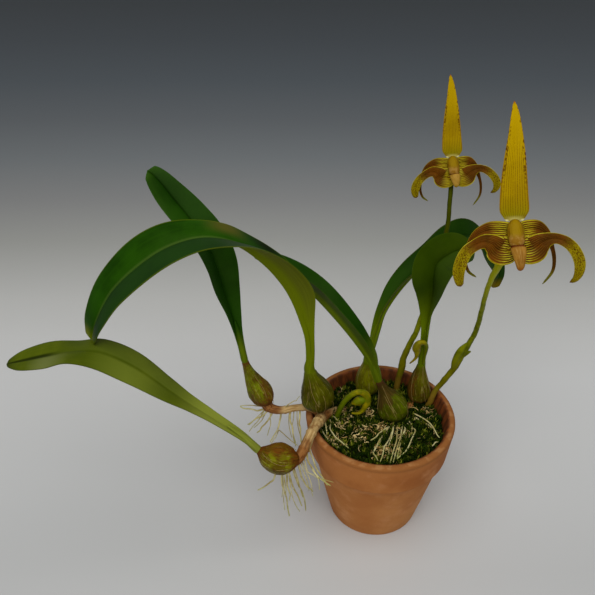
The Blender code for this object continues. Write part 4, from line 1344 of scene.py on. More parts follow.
# %% Routes of the left leaves
LEAVES = {
    "leaf_front_left": [
        (-89.8, -42.2, 105.9, 0.6, -0.2, 0.7, 3.1, 22), (-100, -43, 119, 0.6, -0.2, 0.7, 3.9, 20),
        (-118, -46, 139.5, 0.5, -0.2, 0.8, 5, 16), (-131, -47, 152.5, 0.2, -0.2, 1, 6.6, 8),
        (-143, -48, 165.5, 0.1, -0.2, 1, 9.4, 0), (-161, -49.5, 185.6, 0, -0.2, 1, 12.4, -8),
        (-180, -50, 197.8, 0, -0.05, 1, 13.4, -8), (-197, -50, 198.4, 0, 0.1, 1, 12.8, -2),
        (-213, -50, 194.9, 0, -0.15, 1, 11.1, 4), (-228, -50, 191, 0, -0.2, 1, 8.1, 6),
        (-236, -50, 189, 0, -0.3, 1, 4, 4), (-239, -50, 188, 0, -0.3, 1, 1.2, 4),
    ],
    "leaf_back_left": [
        (-99.3, 8.2, 143.2, 0.5, -0.7, 0.5, 2.7, 32), (-101, 10.5, 151, 0.5, -0.7, 0.5, 2.9, 34),
        (-104, 15, 163, 0.5, -0.7, 0.4, 4.2, 38), (-107.5, 19, 177, 0.5, -0.7, 0.3, 7.3, 38),
        (-112, 23, 194, 0.5, -0.7, 0.3, 11.4, 34), (-116.8, 28, 212, 0.6, -0.6, 0.4, 14.6, 32),
        (-123.5, 31, 229, 0.6, -0.7, 0.5, 14.6, 30),
        (-132.5, 33, 243.5, 0.4, -0.8, 0.5, 13.4, 26),
        (-142.3, 35, 257.3, 0.2, -0.85, 0.5, 11.6, 26),
        (-148.3, 35.6, 266.5, 0.1, -0.9, 0.5, 9.6, 24),
        (-153, 36, 272.5, 0.1, -0.9, 0.5, 7.2, 20), (-156.8, 36, 276, 0.1, -0.9, 0.5, 4.6, 18),
    ],
    "leaf_rim": [
        (-52.9, 4, 139.4, 0.8, 0.6, 0, 3.7, 36), (-52.8, 4.2, 152, 0.8, 0.6, 0, 3.8, 42),
        (-54.2, 4.5, 167, 0.8, 0.6, 0, 4.8, 54), (-58, 5, 181, 0.8, 0.55, 0.15, 9, 60),
        (-63.5, 4, 198, 0.8, 0.5, 0.3, 14.5, 58), (-71, 1, 215, 0.7, 0.4, 0.6, 15.5, 52),
        (-82, -5, 234, 0.4, 0.3, 0.85, 15, 36), (-97, -13, 252, 0.1, 0.1, 1, 14.5, 18),
        (-116, -19, 260, 0, -0.1, 1, 15, 6), (-136, -24, 257, -0.1, -0.35, 0.95, 16.5, 10),
        (-154, -28.5, 247, -0.3, -0.45, 0.85, 17, 12), (-172, -33, 231, -0.5, -0.5, 0.7, 14.5, 9),
        (-183, -37, 213, -0.6, -0.5, 0.6, 9, 10), (-187, -38.5, 202, -0.7, -0.5, 0.5, 5, 10),
        (-188, -39, 198, -0.7, -0.5, 0.5, 2, 10),
    ],
}
print("leaves to the left:", len(LEAVES))

# %% Routes of the other leaves
LEAVES |= {
    "leaf_centre": [
        (-2.2, 5.8, 124.5, 0.75, 0.1, 0.6, 2.5, 38), (-4.8, 6.2, 131, 0.75, 0.1, 0.6, 3.9, 42),
        (-10.2, 7.5, 144, 0.75, 0, 0.6, 7.6, 46), (-21.6, 10, 160.5, 0.75, 0, 0.6, 11.6, 46),
        (-36, 16, 177, 0.75, 0, 0.65, 13.1, 46), (-50, 25, 188.5, 0.7, 0, 0.7, 13.5, 44),
        (-64, 34, 195.5, 0.5, 0, 0.85, 13.5, 34), (-77, 41, 201, 0.4, 0, 0.9, 11, 26),
        (-87, 45, 204, 0.3, 0, 1, 6.5, 20), (-92, 47, 205.5, 0.2, 0, 1, 2, 16),
    ],
    "leaf_back": [
        (-8.8, 31, 123.2, -0.6, 0, 0.6, 2.5, 45), (-8, 31.6, 127, -0.6, 0, 0.6, 2.8, 45),
        (-5, 34, 134, -0.6, 0, 0.6, 3.4, 45), (-1.8, 37.5, 146, -0.6, 0, 0.6, 5, 45),
        (2.6, 43, 159, -0.6, 0, 0.6, 6.2, 44), (13, 52, 171.5, -0.6, 0, 0.7, 10.2, 42),
        (25.5, 61, 182, -0.4, 0, 0.8, 11.8, 38), (40, 71, 191.5, -0.2, 0, 0.9, 11.2, 34),
        (55, 80, 199, 0, -0.1, 1, 12.8, 30), (69, 87, 198.5, 0.3, -0.2, 0.9, 13.5, 22),
        (84, 93.5, 182, 0.6, -0.45, 0.7, 11, 14), (96, 96.5, 168, 0.45, -0.7, 0.5, 8.2, 10),
        (101, 98, 157, 0.3, -0.85, 0.4, 4.8, 10), (100.6, 98.5, 149, 0.3, -0.85, 0.4, 4.1, 10),
        (98.4, 99, 142, 0.3, -0.85, 0.4, 4.1, 10),
    ],
    "leaf_right": [
        (31.8, 26.6, 124.3, -0.45, -0.85, 0.2, 2.9, 32),
        (32, 27, 140, -0.45, -0.85, 0.2, 3.1, 38), (32.6, 27.5, 158, -0.7, -0.7, 0.2, 4.6, 48),
        (33.4, 28, 174, -0.7, -0.7, 0.2, 8.4, 50), (33.6, 28, 188, -0.6, -0.75, 0.2, 12.5, 44),
        (33, 29, 199.5, -0.45, -0.8, 0.3, 15.6, 36), (35, 33, 207.5, -0.2, -0.8, 0.5, 16.4, 24),
        (43, 39, 211, 0.1, -0.7, 0.7, 15.4, 12), (51.5, 44, 212, 0.4, -0.6, 0.8, 12.5, 8),
        (60, 47.5, 209, 0.5, -0.5, 0.7, 8, 8), (64.5, 49.5, 206, 0.5, -0.5, 0.6, 3, 8),
    ],
}
print("leaves in all:", len(LEAVES))

# %% [markdown]
# No two leaves have the same green. An old leaf is yellower and age yellows some tips. One
# half of a leaf is painted with light: a painted sheen on some leaves, painted shade on others.
# Other patches are painted light too: a painted shadow where a blade curls near a bend, a
# painted sheen, a lighter patch that lifts the shade of a fold, and painted shade at a folded
# tip; a brown olive patch lies near one bend. All of it follows the leaf's own map, across
# and along, so it stays on the leaf from every side.

# %% Leaf finish
def leaf_finish(name, deep, light, under, stalk, painted_light_half, rib, edge, gloss, patches=()):
    """Leathery green with long fine veins.

    The stalk is a colour and where along the blade it has faded out. The half painted with
    light has a side, a share, a colour and the stretch along the blade on which it sets in: a
    painted sheen on some leaves, painted shade on others. The rib is a colour, a share, where
    it begins and its half width. The edge is a colour, a share and the tip's share. A patch,
    some of them painted light, has a side, the stretch across in which it sets in, a share, a
    colour, and where along the blade it lies and how far it spreads.
    """
    finish, shader = new_finish(name, gloss=gloss, sheen=GREEN_SHEEN)
    place = object_place()
    uv, across, along = uv_place()
    turned = 1 - across * 2
    reach = abs(turned)
    veins = streaky(uv, 70, 2.0)
    clouds = noise(place, 28, 4)
    top = mixed(ramp(clouds, 0.34, 0.66), deep, light)
    top = mixed(ramp(veins, 0.45, 0.65) * 0.3, top, light)
    # One half is painted with light: a sheen on some leaves and shade on others.
    half, share, tone, begins, full = painted_light_half
    zone = ramp(turned * half, -0.02, 0.1) * ramp(along, begins, full)
    top = mixed(zone * share, top, tone)
    tone, share, begins, width = rib
    line = ramp(reach, width, 0.3 * width) * ramp(along, begins, begins + 0.08)
    top = mixed(line * share, top, tone)
    # Some patches are painted light: shadow where a blade curls, sheen, and shade of a fold.
    for half, begins, full, share, tone, middle, spread in patches:
        zone = ramp(turned * half, begins, full) * peak(along, middle, spread)
        top = mixed(zone * share, top, tone)
    below = mixed(ramp(veins, 0.42, 0.62), under, toned(under, 0.75))
    stalk_tone, stalk_end = stalk
    below = mixed(ramp(reach, 0.5, 0.2) * 0.8, below, stalk_tone)
    side = attribute("under")
    colour = mixed(ramp(side, 0.55, 0.95), top, below)
    colour = mixed(ramp(along, stalk_end, 0.4 * stalk_end), colour, stalk_tone)
    tone, margin, tip = edge
    margin = larger(ramp(reach, 0.94, 0.985) * margin, ramp(along, 0.88, 0.97) * tip)
    colour = mixed(margin, colour, tone)
    paint(shader, colour)
    wire(shader.inputs["Roughness"], 0.36 + side * 0.2 + clouds * 0.12)
    bumped(shader, veins, 0.00018, 0.5)
    return finish


# %% The greens of each leaf
PLAIN_EDGE = ((60, 84, 6), 0.25, 0)
LEAF_LOOKS = {
    "leaf_front_left": (
        (62, 74, 6), (84, 94, 14), (104, 112, 40), ((134, 142, 50), 0.36),
        # A painted sheen on the far half; the dark rib is painted shade in the tip's crease.
        (-1, 0.35, (106, 116, 44), 0.7, 0.4), ((20, 28, 4), 0.85, 0.66, 0.2),
        ((60, 64, 4), 0.4, 0), 0.07,
        # Painted light lifts the near half's fold shade; the dark tip patches are painted shade.
        (
            (1, 0, 0.2, 0.6, (112, 122, 40), 0.46, 0.15),
            (1, 0, 0.3, 0.6, (112, 118, 66), 0.72, 0.09),
            (1, 0, 0.2, 0.75, (36, 44, 6), 0.98, 0.18),
            (-1, 0, 0.2, 0.7, (42, 50, 12), 0.99, 0.18),
        ),
    ),
    "leaf_back_left": (
        (16, 46, 2), (28, 64, 4), (88, 100, 20), ((92, 108, 6), 0.19),
        # A painted grey sheen on one half, from mid-blade on.
        (-1, 0.4, (48, 78, 30), 0.45, 0.65), ((10, 26, 2), 0.5, 0.55, 0.06),
        ((50, 84, 6), 0.4, 0.2), 0.18,
    ),
    "leaf_rim": (
        (18, 48, 2), (32, 70, 4), (94, 100, 18), ((98, 110, 2), 0.32),
        # Painted shade darkens one half of the blade.
        (1, 0.6, (26, 46, 20), 0, 0.1), ((84, 104, 44), 0.3, 0.42, 0.09),
        ((100, 110, 8), 0.4, 0.7), 0.06,
        # The yellow tip patches are its own; the dark one is painted shadow, the grey painted
        # sheen.
        (
            (-1, 0.1, 0.6, 0.9, (112, 112, 12), 0.965, 0.075),
            (1, 0, 0.2, 0.9, (100, 106, 10), 1, 0.05),
            (-1, 0.1, 0.7, 0.75, (88, 80, 26), 0.52, 0.06),
            (-1, 0.3, 0.8, 0.9, (14, 18, 4), 0.42, 0.07),
            (1, 0, 0.3, 0.5, (66, 82, 52), 0.49, 0.07),
        ),
    ),
    "leaf_centre": (
        (14, 44, 2), (26, 60, 4), (66, 84, 14), ((92, 108, 8), 0.34),
        (1, 0, (84, 96, 14), 0, 0.1), ((80, 96, 14), 0.3, 0.2, 0.06), PLAIN_EDGE, 0.1,
    ),
    "leaf_back": (
        (20, 48, 4), (34, 66, 6), (72, 92, 8), ((104, 122, 4), 0.34),
        # Painted shade darkens one half of the blade.
        (1, 0.25, (20, 44, 8), 0, 0.1), ((20, 34, 2), 0.45, 0.25, 0.06),
        ((104, 88, 8), 0.25, 1), 0.06,
    ),
    "leaf_right": (
        (36, 54, 0), (48, 66, 2), (88, 104, 8), ((100, 118, 2), 0.42),
        # A painted grey sheen on one half of the blade.
        (-1, 0.4, (46, 66, 20), 0, 0.1), ((24, 44, 2), 0.5, 0.35, 0.06), PLAIN_EDGE, 0.08,
    ),
}
print("leaves with greens of their own:", len(LEAF_LOOKS))

# %% [markdown]
# A leaf stalk is folded like a gutter, but at its foot it is round, where it grows out of
# the bulb's neck. A short stem fills the fold there. Its colour fades into the blade's
# green by as much as the blade's own has faded where the stem ends.

# %% Rounded feet
LEAF_STEPS = 110
# Each step: millimetres along the leaf, how much of the fold is filled, how far inward.
FOOT_STEPS = ((4, 0.84, 0.16), (11, 0.70, 0.24), (20, 0.45, 0.28), (30, 0.15, 0.30))
FOOT_LENGTH = FOOT_STEPS[-1][0]
WIDEST_FOOT = 4.2


def rounded_foot(name, keys):
    """A stem that leads from the neck of a leaf's bulb into the fold of its stalk."""
    rows = smooth(keys, LEAF_STEPS)
    run = travelled(rows[:, :3])
    neck = PSEUDOBULBS[name.replace("leaf", "pseudobulb")]
    route = [(*neck[-2][:3], 0.7 * neck[-2][3]), (*neck[-1][:3], neck[-1][3] + 0.05)]
    for distance, fill, inward in FOOT_STEPS:
        row = rows[int(np.argmin(np.abs(run - distance)))]
        face = unit(row[3:6])
        route.append((*(row[:3] + face * inward * row[6]), fill * min(row[6], WIDEST_FOOT)))
    return stem(name + "_foot", route, around=20, along=40)


def foot_finish(name, stalk, green, share):
    """The foot's streaked colour, which fades by that share into the leaf's green."""
    finish, shader = new_finish(name, gloss=0.15, sheen=GREEN_SHEEN)
    uv, _, along = uv_place()
    streaks = streaky(uv, 24, 3)
    colour = mixed(ramp(streaks, 0.35, 0.65), toned(stalk, 0.8), stalk)
    paint(shader, mixed(ramp(along, 0.45, 0.95) * share, colour, green))
    return finish


# %% Making the leaves
LEAF_THICKNESS = 0.8
MIDRIB_THICKNESS = 1.7
STALK_STOUTNESS = 0.9
LEAF_BULGE = 0.045
LEAF_WAVE = 0.03
LEAF_GROOVE = 0.6
SHALLOW_GROOVES = {"leaf_front_left": 0.1, "leaf_back_left": 0.35}
BLUNT_TIPS = {"leaf_rim": (2.2, 3.4, 3.4)}


def blunter(name, keys):
    """A leaf's keys with its last few made that much wider."""
    wider = [0.0] * (len(keys) - 3) + list(BLUNT_TIPS.get(name, (0, 0, 0)))
    return [(*key[:6], key[6] + extra, key[7]) for key, extra in zip(keys, wider)]


for name, keys in LEAVES.items():
    leaf = blade(
        name + "_blade", blunter(name, keys), 24, LEAF_STEPS, LEAF_THICKNESS, MIDRIB_THICKNESS,
        stout=STALK_STOUTNESS, bulge=LEAF_BULGE, groove=SHALLOW_GROOVES.get(name, LEAF_GROOVE),
        wave=LEAF_WAVE,
    )
    coat(leaf_finish(name + " green", *LEAF_LOOKS[name]), leaf)
    foot = rounded_foot(name, keys)
    length = travelled(smooth(keys, LEAF_STEPS)[:, :3])[-1]
    _, light, _, (stalk, fade_out) = LEAF_LOOKS[name][:4]
    share = min(1, max(0, (FOOT_LENGTH / length - 0.4 * fade_out) / (0.6 * fade_out)))
    coat(foot_finish(name + " foot", stalk, light, share), foot)
    hand_over(joined(name + "_blade", [leaf, foot]), "leaf", name)

# %% [markdown]
# ## Flower stalks and buds
# Two thin green stalks carry the blooms. They are speckled with purple brown, tan at the
# foot, and clasped here and there by a pointed sheath. The two nodding buds curl down from
# stalks of their own.

# %% Routes of the stalks and buds
STALKS = {
    "stalk_front": [
        (38.2, 19, 83.5, 2.2), (38.8, 18, 88, 2.2), (40, 17, 93, 2.2), (41.2, 17.4, 97.5, 2.2),
        (42.4, 18, 101, 2.1), (45, 19, 106.2, 2), (49.4, 20, 112.7, 2.1), (56, 21, 125, 2.3),
        (60.4, 20.5, 139.6, 2.2), (63.2, 17.5, 153, 1.9), (64.5, 14, 166, 1.8), (63, 6, 186, 1.7),
        (60, -6, 210, 1.6), (58, -18, 230, 1.8), (57.6, -28, 246, 2.2), (58.8, -33.8, 256, 2.5),
        (59.4, -37.6, 261.4, 2.3), (59.4, -42.9, 266.2, 1.9),
    ],
    "stalk_back": [
        (15, 34, 80, 2.4), (16, 34, 87, 2.4), (18, 35, 107, 2.3), (20, 36, 122, 2.4),
        (25, 39, 135, 2.1), (29, 42, 145, 2), (36, 48, 175, 1.8), (42, 54, 202, 1.7),
        (45, 60, 223, 1.6), (46, 68, 240, 1.6), (46.8, 74, 249, 1.8), (47, 74.2, 252.4, 1.8),
    ],
}
SHEATHS = {
    "stalk_front": [
        [(54, 20.5, 121.5, 1.2), (55, 20, 131, 2.6), (57.5, 19.5, 141, 2.7), (61, 18, 150, 0.8)],
        [(46.5, 19.5, 108.5, 1.4), (49.5, 20, 113.7, 2.2), (53.5, 20.5, 118.8, 0.8)],
        [(59, 20.5, 134, 1.4), (62.3, 20, 138.5, 1.6), (65, 19.5, 140.7, 0.6)],
    ],
    "stalk_back": [[(17, 34, 100, 1.6), (19, 34.5, 112, 2.6), (20.5, 35.5, 121, 1.2)]],
}
BUDS = {
    "bud_low": [
        [
            (-31.5, 4, 86, 2), (-31, 4, 93, 2), (-28, 4, 102, 2), (-23, 4, 110.5, 2.1),
            (-17.8, 4, 114.6, 2.2), (-12.5, 4, 113.6, 2.6), (-10, 3.6, 109.5, 3.2),
            (-10.6, 2.6, 104.5, 3), (-12.6, 1.6, 99.6, 1.8), (-16, 0.8, 96.6, 1.2),
            (-21.5, 0.6, 97, 0.5),
        ],
        [
            (-11, 3.4, 110, 2.4), (-14.5, 3, 107.5, 3.6), (-18.5, 2.6, 106, 2.8),
            (-21.5, 2.4, 105, 0.8),
        ],
    ],
    "bud_right": [
        [
            (32.4, 23.6, 124.6, 1.2), (32.6, 23, 134, 1.2), (32.8, 21.5, 142.5, 1.5),
            (30.6, 20.5, 147.6, 1.7), (27, 20, 147.8, 2.2), (25, 19.6, 144, 3.1),
            (25.8, 19, 139.6, 2.2), (25.2, 18.4, 135, 1.1), (21, 18, 130, 0.5),
        ],
    ],
}
print("stalks:", len(STALKS), "buds:", len(BUDS))


# %% Stalk and bud finishes
def stalk_finish(name, high_colour, high_share, low_end, high_end):
    """Yellow green, darker in patches, speckled purple brown, tan at the foot."""
    finish, shader = new_finish(name, gloss=0.06, sheen=GREEN_SHEEN)
    place = object_place()
    height = split(place)[2]
    colour = clouded(place, 90, (84, 92, 2), (120, 126, 10), 0.38, 0.62)
    # The top's tone: painted light on the front stalk, against the shade that its bloom casts.
    colour = mixed(ramp(height, low_end, high_end) * high_share, colour, high_colour)
    colour = mixed(ramp(height, 0.15, 0.118) * 0.6, colour, (96, 84, 4))
    specks = ramp(dots(place, 900), 0.26, 0.16)
    patchy = ramp(noise(place, 60, 2), 0.48, 0.6)
    colour = mixed(specks * patchy * 0.8, colour, (84, 44, 20))
    colour = mixed(ramp(height, 0.11, 0.098) * 0.65, colour, (132, 98, 34))
    paint(shader, colour)
    bumped(shader, noise(place, 500, 3), 0.0002, 0.6)
    return finish


def bud_finish(name, deep, light, lined, stalk):
    """Green to yellow with brown lines along it."""
    finish, shader = new_finish(name, roughness=0.45, gloss=0.2, sheen=GREEN_SHEEN)
    place = object_place()
    uv, _, along = uv_place()
    stripes = streaky(uv, 14, 1.5)
    colour = clouded(place, 150, deep, light, 0.38, 0.62)
    colour = mixed(ramp(stripes, 0.52, 0.66) * lined, colour, (104, 66, 8))
    colour = mixed(ramp(along, 0.44, 0.3) * 0.85, colour, stalk)
    paint(shader, colour)
    bumped(shader, stripes, 0.0003, 0.7)
    return finish


# %% Making the stalks and buds
def knobbly(turn, run):
    """The slight unevenness of a living stalk."""
    return 0.05 * np.sin(0.35 * run + turn) + 0.03 * np.sin(0.9 * run - 2 * turn)


STALK_TOPS = {
    # The front stalk's top is painted much lighter: painted light against its bloom's shade.
    "stalk_front": ((168, 168, 14), 0.85, 0.19, 0.236),
    # The back stalk is painted darker towards its top.
    "stalk_back": ((46, 50, 0), 0.85, 0.17, 0.2),
}
for name, keys in STALKS.items():
    parts = [stem(name + "_skin", keys, around=16, along=150, relief=knobbly)]
    parts += [stem("sheath", keys, around=20, along=24, flat=0.8) for keys in SHEATHS[name]]
    coat(stalk_finish(name + " green", *STALK_TOPS[name]), *parts)
    hand_over(joined(name + "_skin", parts), "stalk", name)

BUD_LOOKS = {
    "bud_low": ((98, 104, 2), (152, 136, 8), 0.5, (86, 104, 4)),
    "bud_right": ((104, 96, 4), (136, 124, 6), 0.8, (88, 102, 2)),
}
for name, routes in BUDS.items():
    parts = [stem(name + "_skin", keys, around=20, along=60, relief=knobbly) for keys in routes]
    coat(bud_finish(name + " skin", *BUD_LOOKS[name]), *parts)
    hand_over(joined(name + "_skin", parts), "bud", name)

# %% [markdown]
# ## The blooms
# Each bloom has an upright hood, two broad side sepals that curl down into hooks, two
# slim petals behind them with long tails, a short column and a hinged tongue of a lip.
# The hood is golden with fine brown dotted veins and a green foot. The side sepals and the
# petals are brown red in the middle with yellow lines along them, and the hooks are yellow
# with brown specks. All lines run along the part, so they follow its own map.

# %% The shapes of one bloom
UPRIGHT_SEPAL = [
    (0, 0.9, 7.6, 4.6, 6), (0, 1.2, 10, 6.3, 6), (0, 1.5, 13.4, 8, 6), (0, 1.7, 21, 7.8, 7),
    (0.3, 1.6, 32, 7, 8), (0.8, 1, 44, 5.7, 10), (1.1, 0.2, 55, 4, 12), (1, -0.6, 64.5, 2.5, 12),
    (0.5, -1.2, 72.4, 0.6, 8),
]
SIDE_SEPAL_RIGHT = [
    (0.9, -0.9, -8.6, 5.6, 4), (4.5, -0.7, -8.8, 7.6, 6), (9.5, -0.8, -8, 8.2, 8),
    (13.6, -2, -5, 6.2, 10), (17.2, -2.8, -3.2, 4, 12), (21.5, -3.4, -2.9, 3, 12),
    (26.5, -3.8, -5.1, 3.1, 12), (30.8, -3.6, -9.6, 3.2, 12), (33.4, -3, -15.6, 3.2, 12),
    (33.6, -2, -21.2, 2.8, 12), (31.8, -1.2, -25.4, 1.8, 10), (28.8, -1, -27.4, 0.6, 6),
]
SIDE_SEPAL_LEFT = [
    (-0.7, -0.9, -8.6, 5.6, 4), (-4.5, -0.7, -8.8, 7.6, 6), (-9, -0.8, -8, 8, 8),
    (-12.8, -2, -4.6, 5.8, 10), (-17, -2.8, -3, 4.2, 12), (-22, -3.4, -4.6, 3.4, 12),
    (-27, -3.8, -8.2, 3.5, 12), (-30, -3.4, -13.6, 3.6, 12), (-31.4, -2.6, -19.2, 3.4, 12),
    (-31.2, -1.8, -24, 2.7, 10), (-30.2, -1.2, -27.6, 1.6, 6),
]
PETAL_RIGHT = [
    (1.5, -0.2, 1.8, 4.9, 4), (8, 2.2, 2.8, 5.3, 8), (13, 3.8, 2.4, 4.9, 10),
    (18, 6, -0.6, 2.8, 12), (21.4, 7.6, -7.6, 1.4, 12), (22.7, 7.8, -14.6, 1.1, 10),
    (21.3, 6.6, -21.6, 0.9, 8), (15.6, 4.6, -28.2, 0.5, 4),
]
PETAL_LEFT = [
    (-1.5, -0.2, 1.8, 4.9, 4), (-8.5, 2.2, 2.8, 5.3, 8), (-14, 3.8, 2.6, 4.9, 10),
    (-20, 6, 0.2, 3.2, 12), (-24.8, 7.6, -6.6, 1.6, 12), (-26.4, 7.8, -13.6, 1.1, 10),
    (-25, 6.6, -19.6, 0.9, 8), (-21, 4.6, -23, 0.5, 4),
]
COLUMN = [
    (-0.2, -0.9, 8.8, 2.6), (-0.2, -1.4, 5.8, 4), (-0.1, -2.4, 1.6, 4.7), (0.1, -3.4, -2.2, 4.5),
    (0.2, -4, -5.4, 4.4), (0.3, -4.2, -7.6, 4),
]
COLUMN_FOOT = [
    (0, 0.5, 6, 3), (0, 0.3, 1, 5), (0, -0.2, -4, 5.6), (0.1, -0.4, -9, 5), (0.2, -0.4, -13, 3),
]
LIP = [
    (0.7, -2.6, -4.6, 3.9), (0.8, -4.6, -7.2, 4.3), (1.1, -6.3, -11.2, 3.7),
    (1.4, -6.7, -16, 2.6), (1.5, -5.8, -19.8, 1.5),
]
print("the hood is", UPRIGHT_SEPAL[-1][2] - UPRIGHT_SEPAL[0][2], "mm long")

# %% [markdown]
# Both blooms are one design. Each is set at its place, leant back, swung and tipped, and
# the back one is smaller and younger: its side sepals droop less and its lip is shorter.

# %% Setting a bloom in its place
BLOOMS = {
    "flower_front": ((59.2, -40, 273.5), 30, 6, -2.5, 1, 1, 1),
    "flower_back": ((47, 76, 260), 28, 5, -3.8, 0.86, 0.75, 1.12),
}
LIP_LENGTHS = {"flower_front": 1.0, "flower_back": 0.8}


def bloom_pose(bloom):
    """How a bloom is turned: swung about its own upright, tipped sideways and leant back."""
    lean, swing, tip = (math.radians(angle) for angle in BLOOMS[bloom][1:4])
    leaning = Matrix.Rotation(-lean, 3, "X")
    return leaning @ Matrix.Rotation(tip, 3, "Y") @ Matrix.Rotation(-swing, 3, "Z")


def placed(keys, bloom):
    """A bloom's keys of (x, y, z, width, and perhaps fold) moved to where the bloom sits."""
    place, size = Vector(BLOOMS[bloom][0]), BLOOMS[bloom][4]
    pose = bloom_pose(bloom)
    return [(*(place + pose @ Vector(key[:3]) * size), key[3] * size, *key[4:]) for key in keys]


def shortened(keys, share):
    """Keys drawn in towards their first to that share of their length."""
    first = np.array(keys[0][:3])
    return [(*(first + share * (np.array(key[:3]) - first)), key[3]) for key in keys]


def drooped(keys, droop):
    """Keys that hang that much further down below the height of their first."""
    root = keys[0][2]
    return [(x, y, z + (droop - 1) * min(0.0, z - root), *rest) for x, y, z, *rest in keys]


# %% [markdown]
# The hood's veins are rows of fine brown dots. Lines are drawn along the part first, and a
# grain breaks them into dots. The claw is its narrow pale foot.

# %% Hood finish
def along_lines(across, along, count, sharp, wander=0.35):
    """Fine lines along a part: 1 on a line and 0 between two."""
    spot = node("CombineXYZ", {0: across * 6.0, 1: along * 9.0})
    drift = (noise(spot, 1, 2) - 0.5) * wander
    return ramp(abs(fraction(across * count + drift) - 0.5), sharp, sharp * 0.25)


def from_middle(across):
    """How far a point lies from the middle line, from 0 to 1 at the margin."""
    return abs(across * 2 - 1)


def hood_finish():
    """Gold with dotted brown veins, greener low down, and whitish at the claw."""
    finish, shader = new_finish("golden hood", gloss=0.05, sheen=WARM_SHEEN)
    place = object_place()
    uv, across, along = uv_place()
    reach = from_middle(across)
    gold = clouded(place, 60, (144, 115, 0), (160, 130, 0))
    gold = mixed(ramp(along, 0.5, 0.72) * 0.75, gold, (178, 146, 0))
    colour = mixed(ramp(along, 0.46, 0.12), gold, (122, 110, 0))
    tanned = ramp(along, 0.24, 0.1) * ramp(reach, 0.35, 0.8)
    tanned = tanned * ramp(noise(place, 260, 3), 0.42, 0.58)
    colour = mixed(tanned * 0.6, colour, (104, 76, 2))
    lines = along_lines(across, along, 12, 0.2)
    grain = streaky(uv, 34, 150, 2)
    dotted = lines * ramp(grain, 0.34, 0.52)
    fade = ramp(along, 0.92, 0.62) * ramp(along, 0.08, 0.16)
    colour = mixed(dotted * fade * 0.75, colour, (88, 60, 0))
    pale = clamped(ramp(along, 0.17, 0.03) * (1.0 - reach))
    colour = mixed(pale * 0.75, colour, (196, 184, 110))
    claw = ramp(along, 0.075, 0.035) * ramp(reach, 0.55, 0.85)
    colour = mixed(claw * 0.85, colour, (206, 200, 140))
    edge = ramp(reach, 0.86, 0.99) * ramp(along, 0.1, 0.3)
    colour = mixed(edge * 0.5, colour, (118, 76, 2))
    specks = ramp(dots(stretched(uv, 10, 44, 1), 1), 0.52, 0.34) * ramp(reach, 0.62, 0.84)
    high = ramp(along, 0.34, 0.6)
    colour = mixed(specks * high * 0.9, colour, (78, 42, 2))
    colour = mixed(ramp(along, 0.965, 1.0), colour, (140, 72, 8))
    paint(shader, colour)
    bumped(shader, lines, 0.00025, -0.6)
    return finish


# %% [markdown]
# The side sepals and the petals share their brown red and their yellow lines, which run out
# some way from the root. A hook has specks in place of lines.

# %% Sepal and petal finishes
def side_sepal_finish(name, wash):
    """Brown red with yellow lines and wash at its root, a yellow margin and a speckled hook."""
    finish, shader = new_finish(name, gloss=0.15, sheen=WARM_SHEEN)
    place = object_place()
    uv, across, along = uv_place()
    reach = from_middle(across)
    brown = clouded(place, 140, (74, 31, 0), (98, 47, 2))
    yellow = mixed(ramp(noise(place, 200, 2), 0.35, 0.65), (160, 142, 4), (182, 170, 42))
    lines = along_lines(across, along, 12, 0.34, 0.9)
    root = ramp(along, 0.22, 0.1)
    share = clamped(lines * (root + 0.1))
    share = larger(share, root * wash)
    colour = mixed(share, brown, yellow)
    hook = ramp(along, 0.46, 0.64)
    specks = ramp(dots(stretched(uv, 13, 78, 1), 1), 0.5, 0.36)
    speckled = mixed(specks * 0.85, (146, 128, 2), (80, 42, 2))
    patch = clamped(hook + (noise(place, 260, 3) - 0.5) * 0.5)
    colour = mixed(patch * hook, colour, speckled)
    margin = ramp(reach, 0.88, 0.96) * ramp(along, 0.95, 0.6)
    colour = mixed(margin * 0.9, colour, yellow)
    colour = mixed(ramp(along, 0.95, 1.0), colour, (104, 58, 4))
    paint(shader, colour)
    bumped(shader, lines, 0.0004, 0.8)
    return finish


def petal_finish():
    """Brown red with yellow lines at its root, and a tail that ends yellow green."""
    finish, shader = new_finish("striped petal", gloss=0.15, sheen=WARM_SHEEN)
    place = object_place()
    _, across, along = uv_place()
    reach = from_middle(across)
    brown = clouded(place, 140, (72, 30, 0), (98, 46, 4))
    lines = along_lines(across, along, 9, 0.36, 0.8)
    root = ramp(along, 0.29, 0.12)
    share = clamped(lines * (root + 0.1))
    colour = mixed(share, brown, (166, 152, 20))
    colour = mixed(ramp(reach, 0.86, 0.97) * 0.7, colour, (148, 128, 10))
    colour = mixed(ramp(along, 0.8, 0.92), colour, (112, 106, 14))
    paint(shader, colour)
    bumped(shader, lines, 0.0003, 0.8)
    return finish


# %% [markdown]
# The column and the lip are fleshy and waxy. Their map goes around them, so the finish can
# tell the front, the sides and the far end.

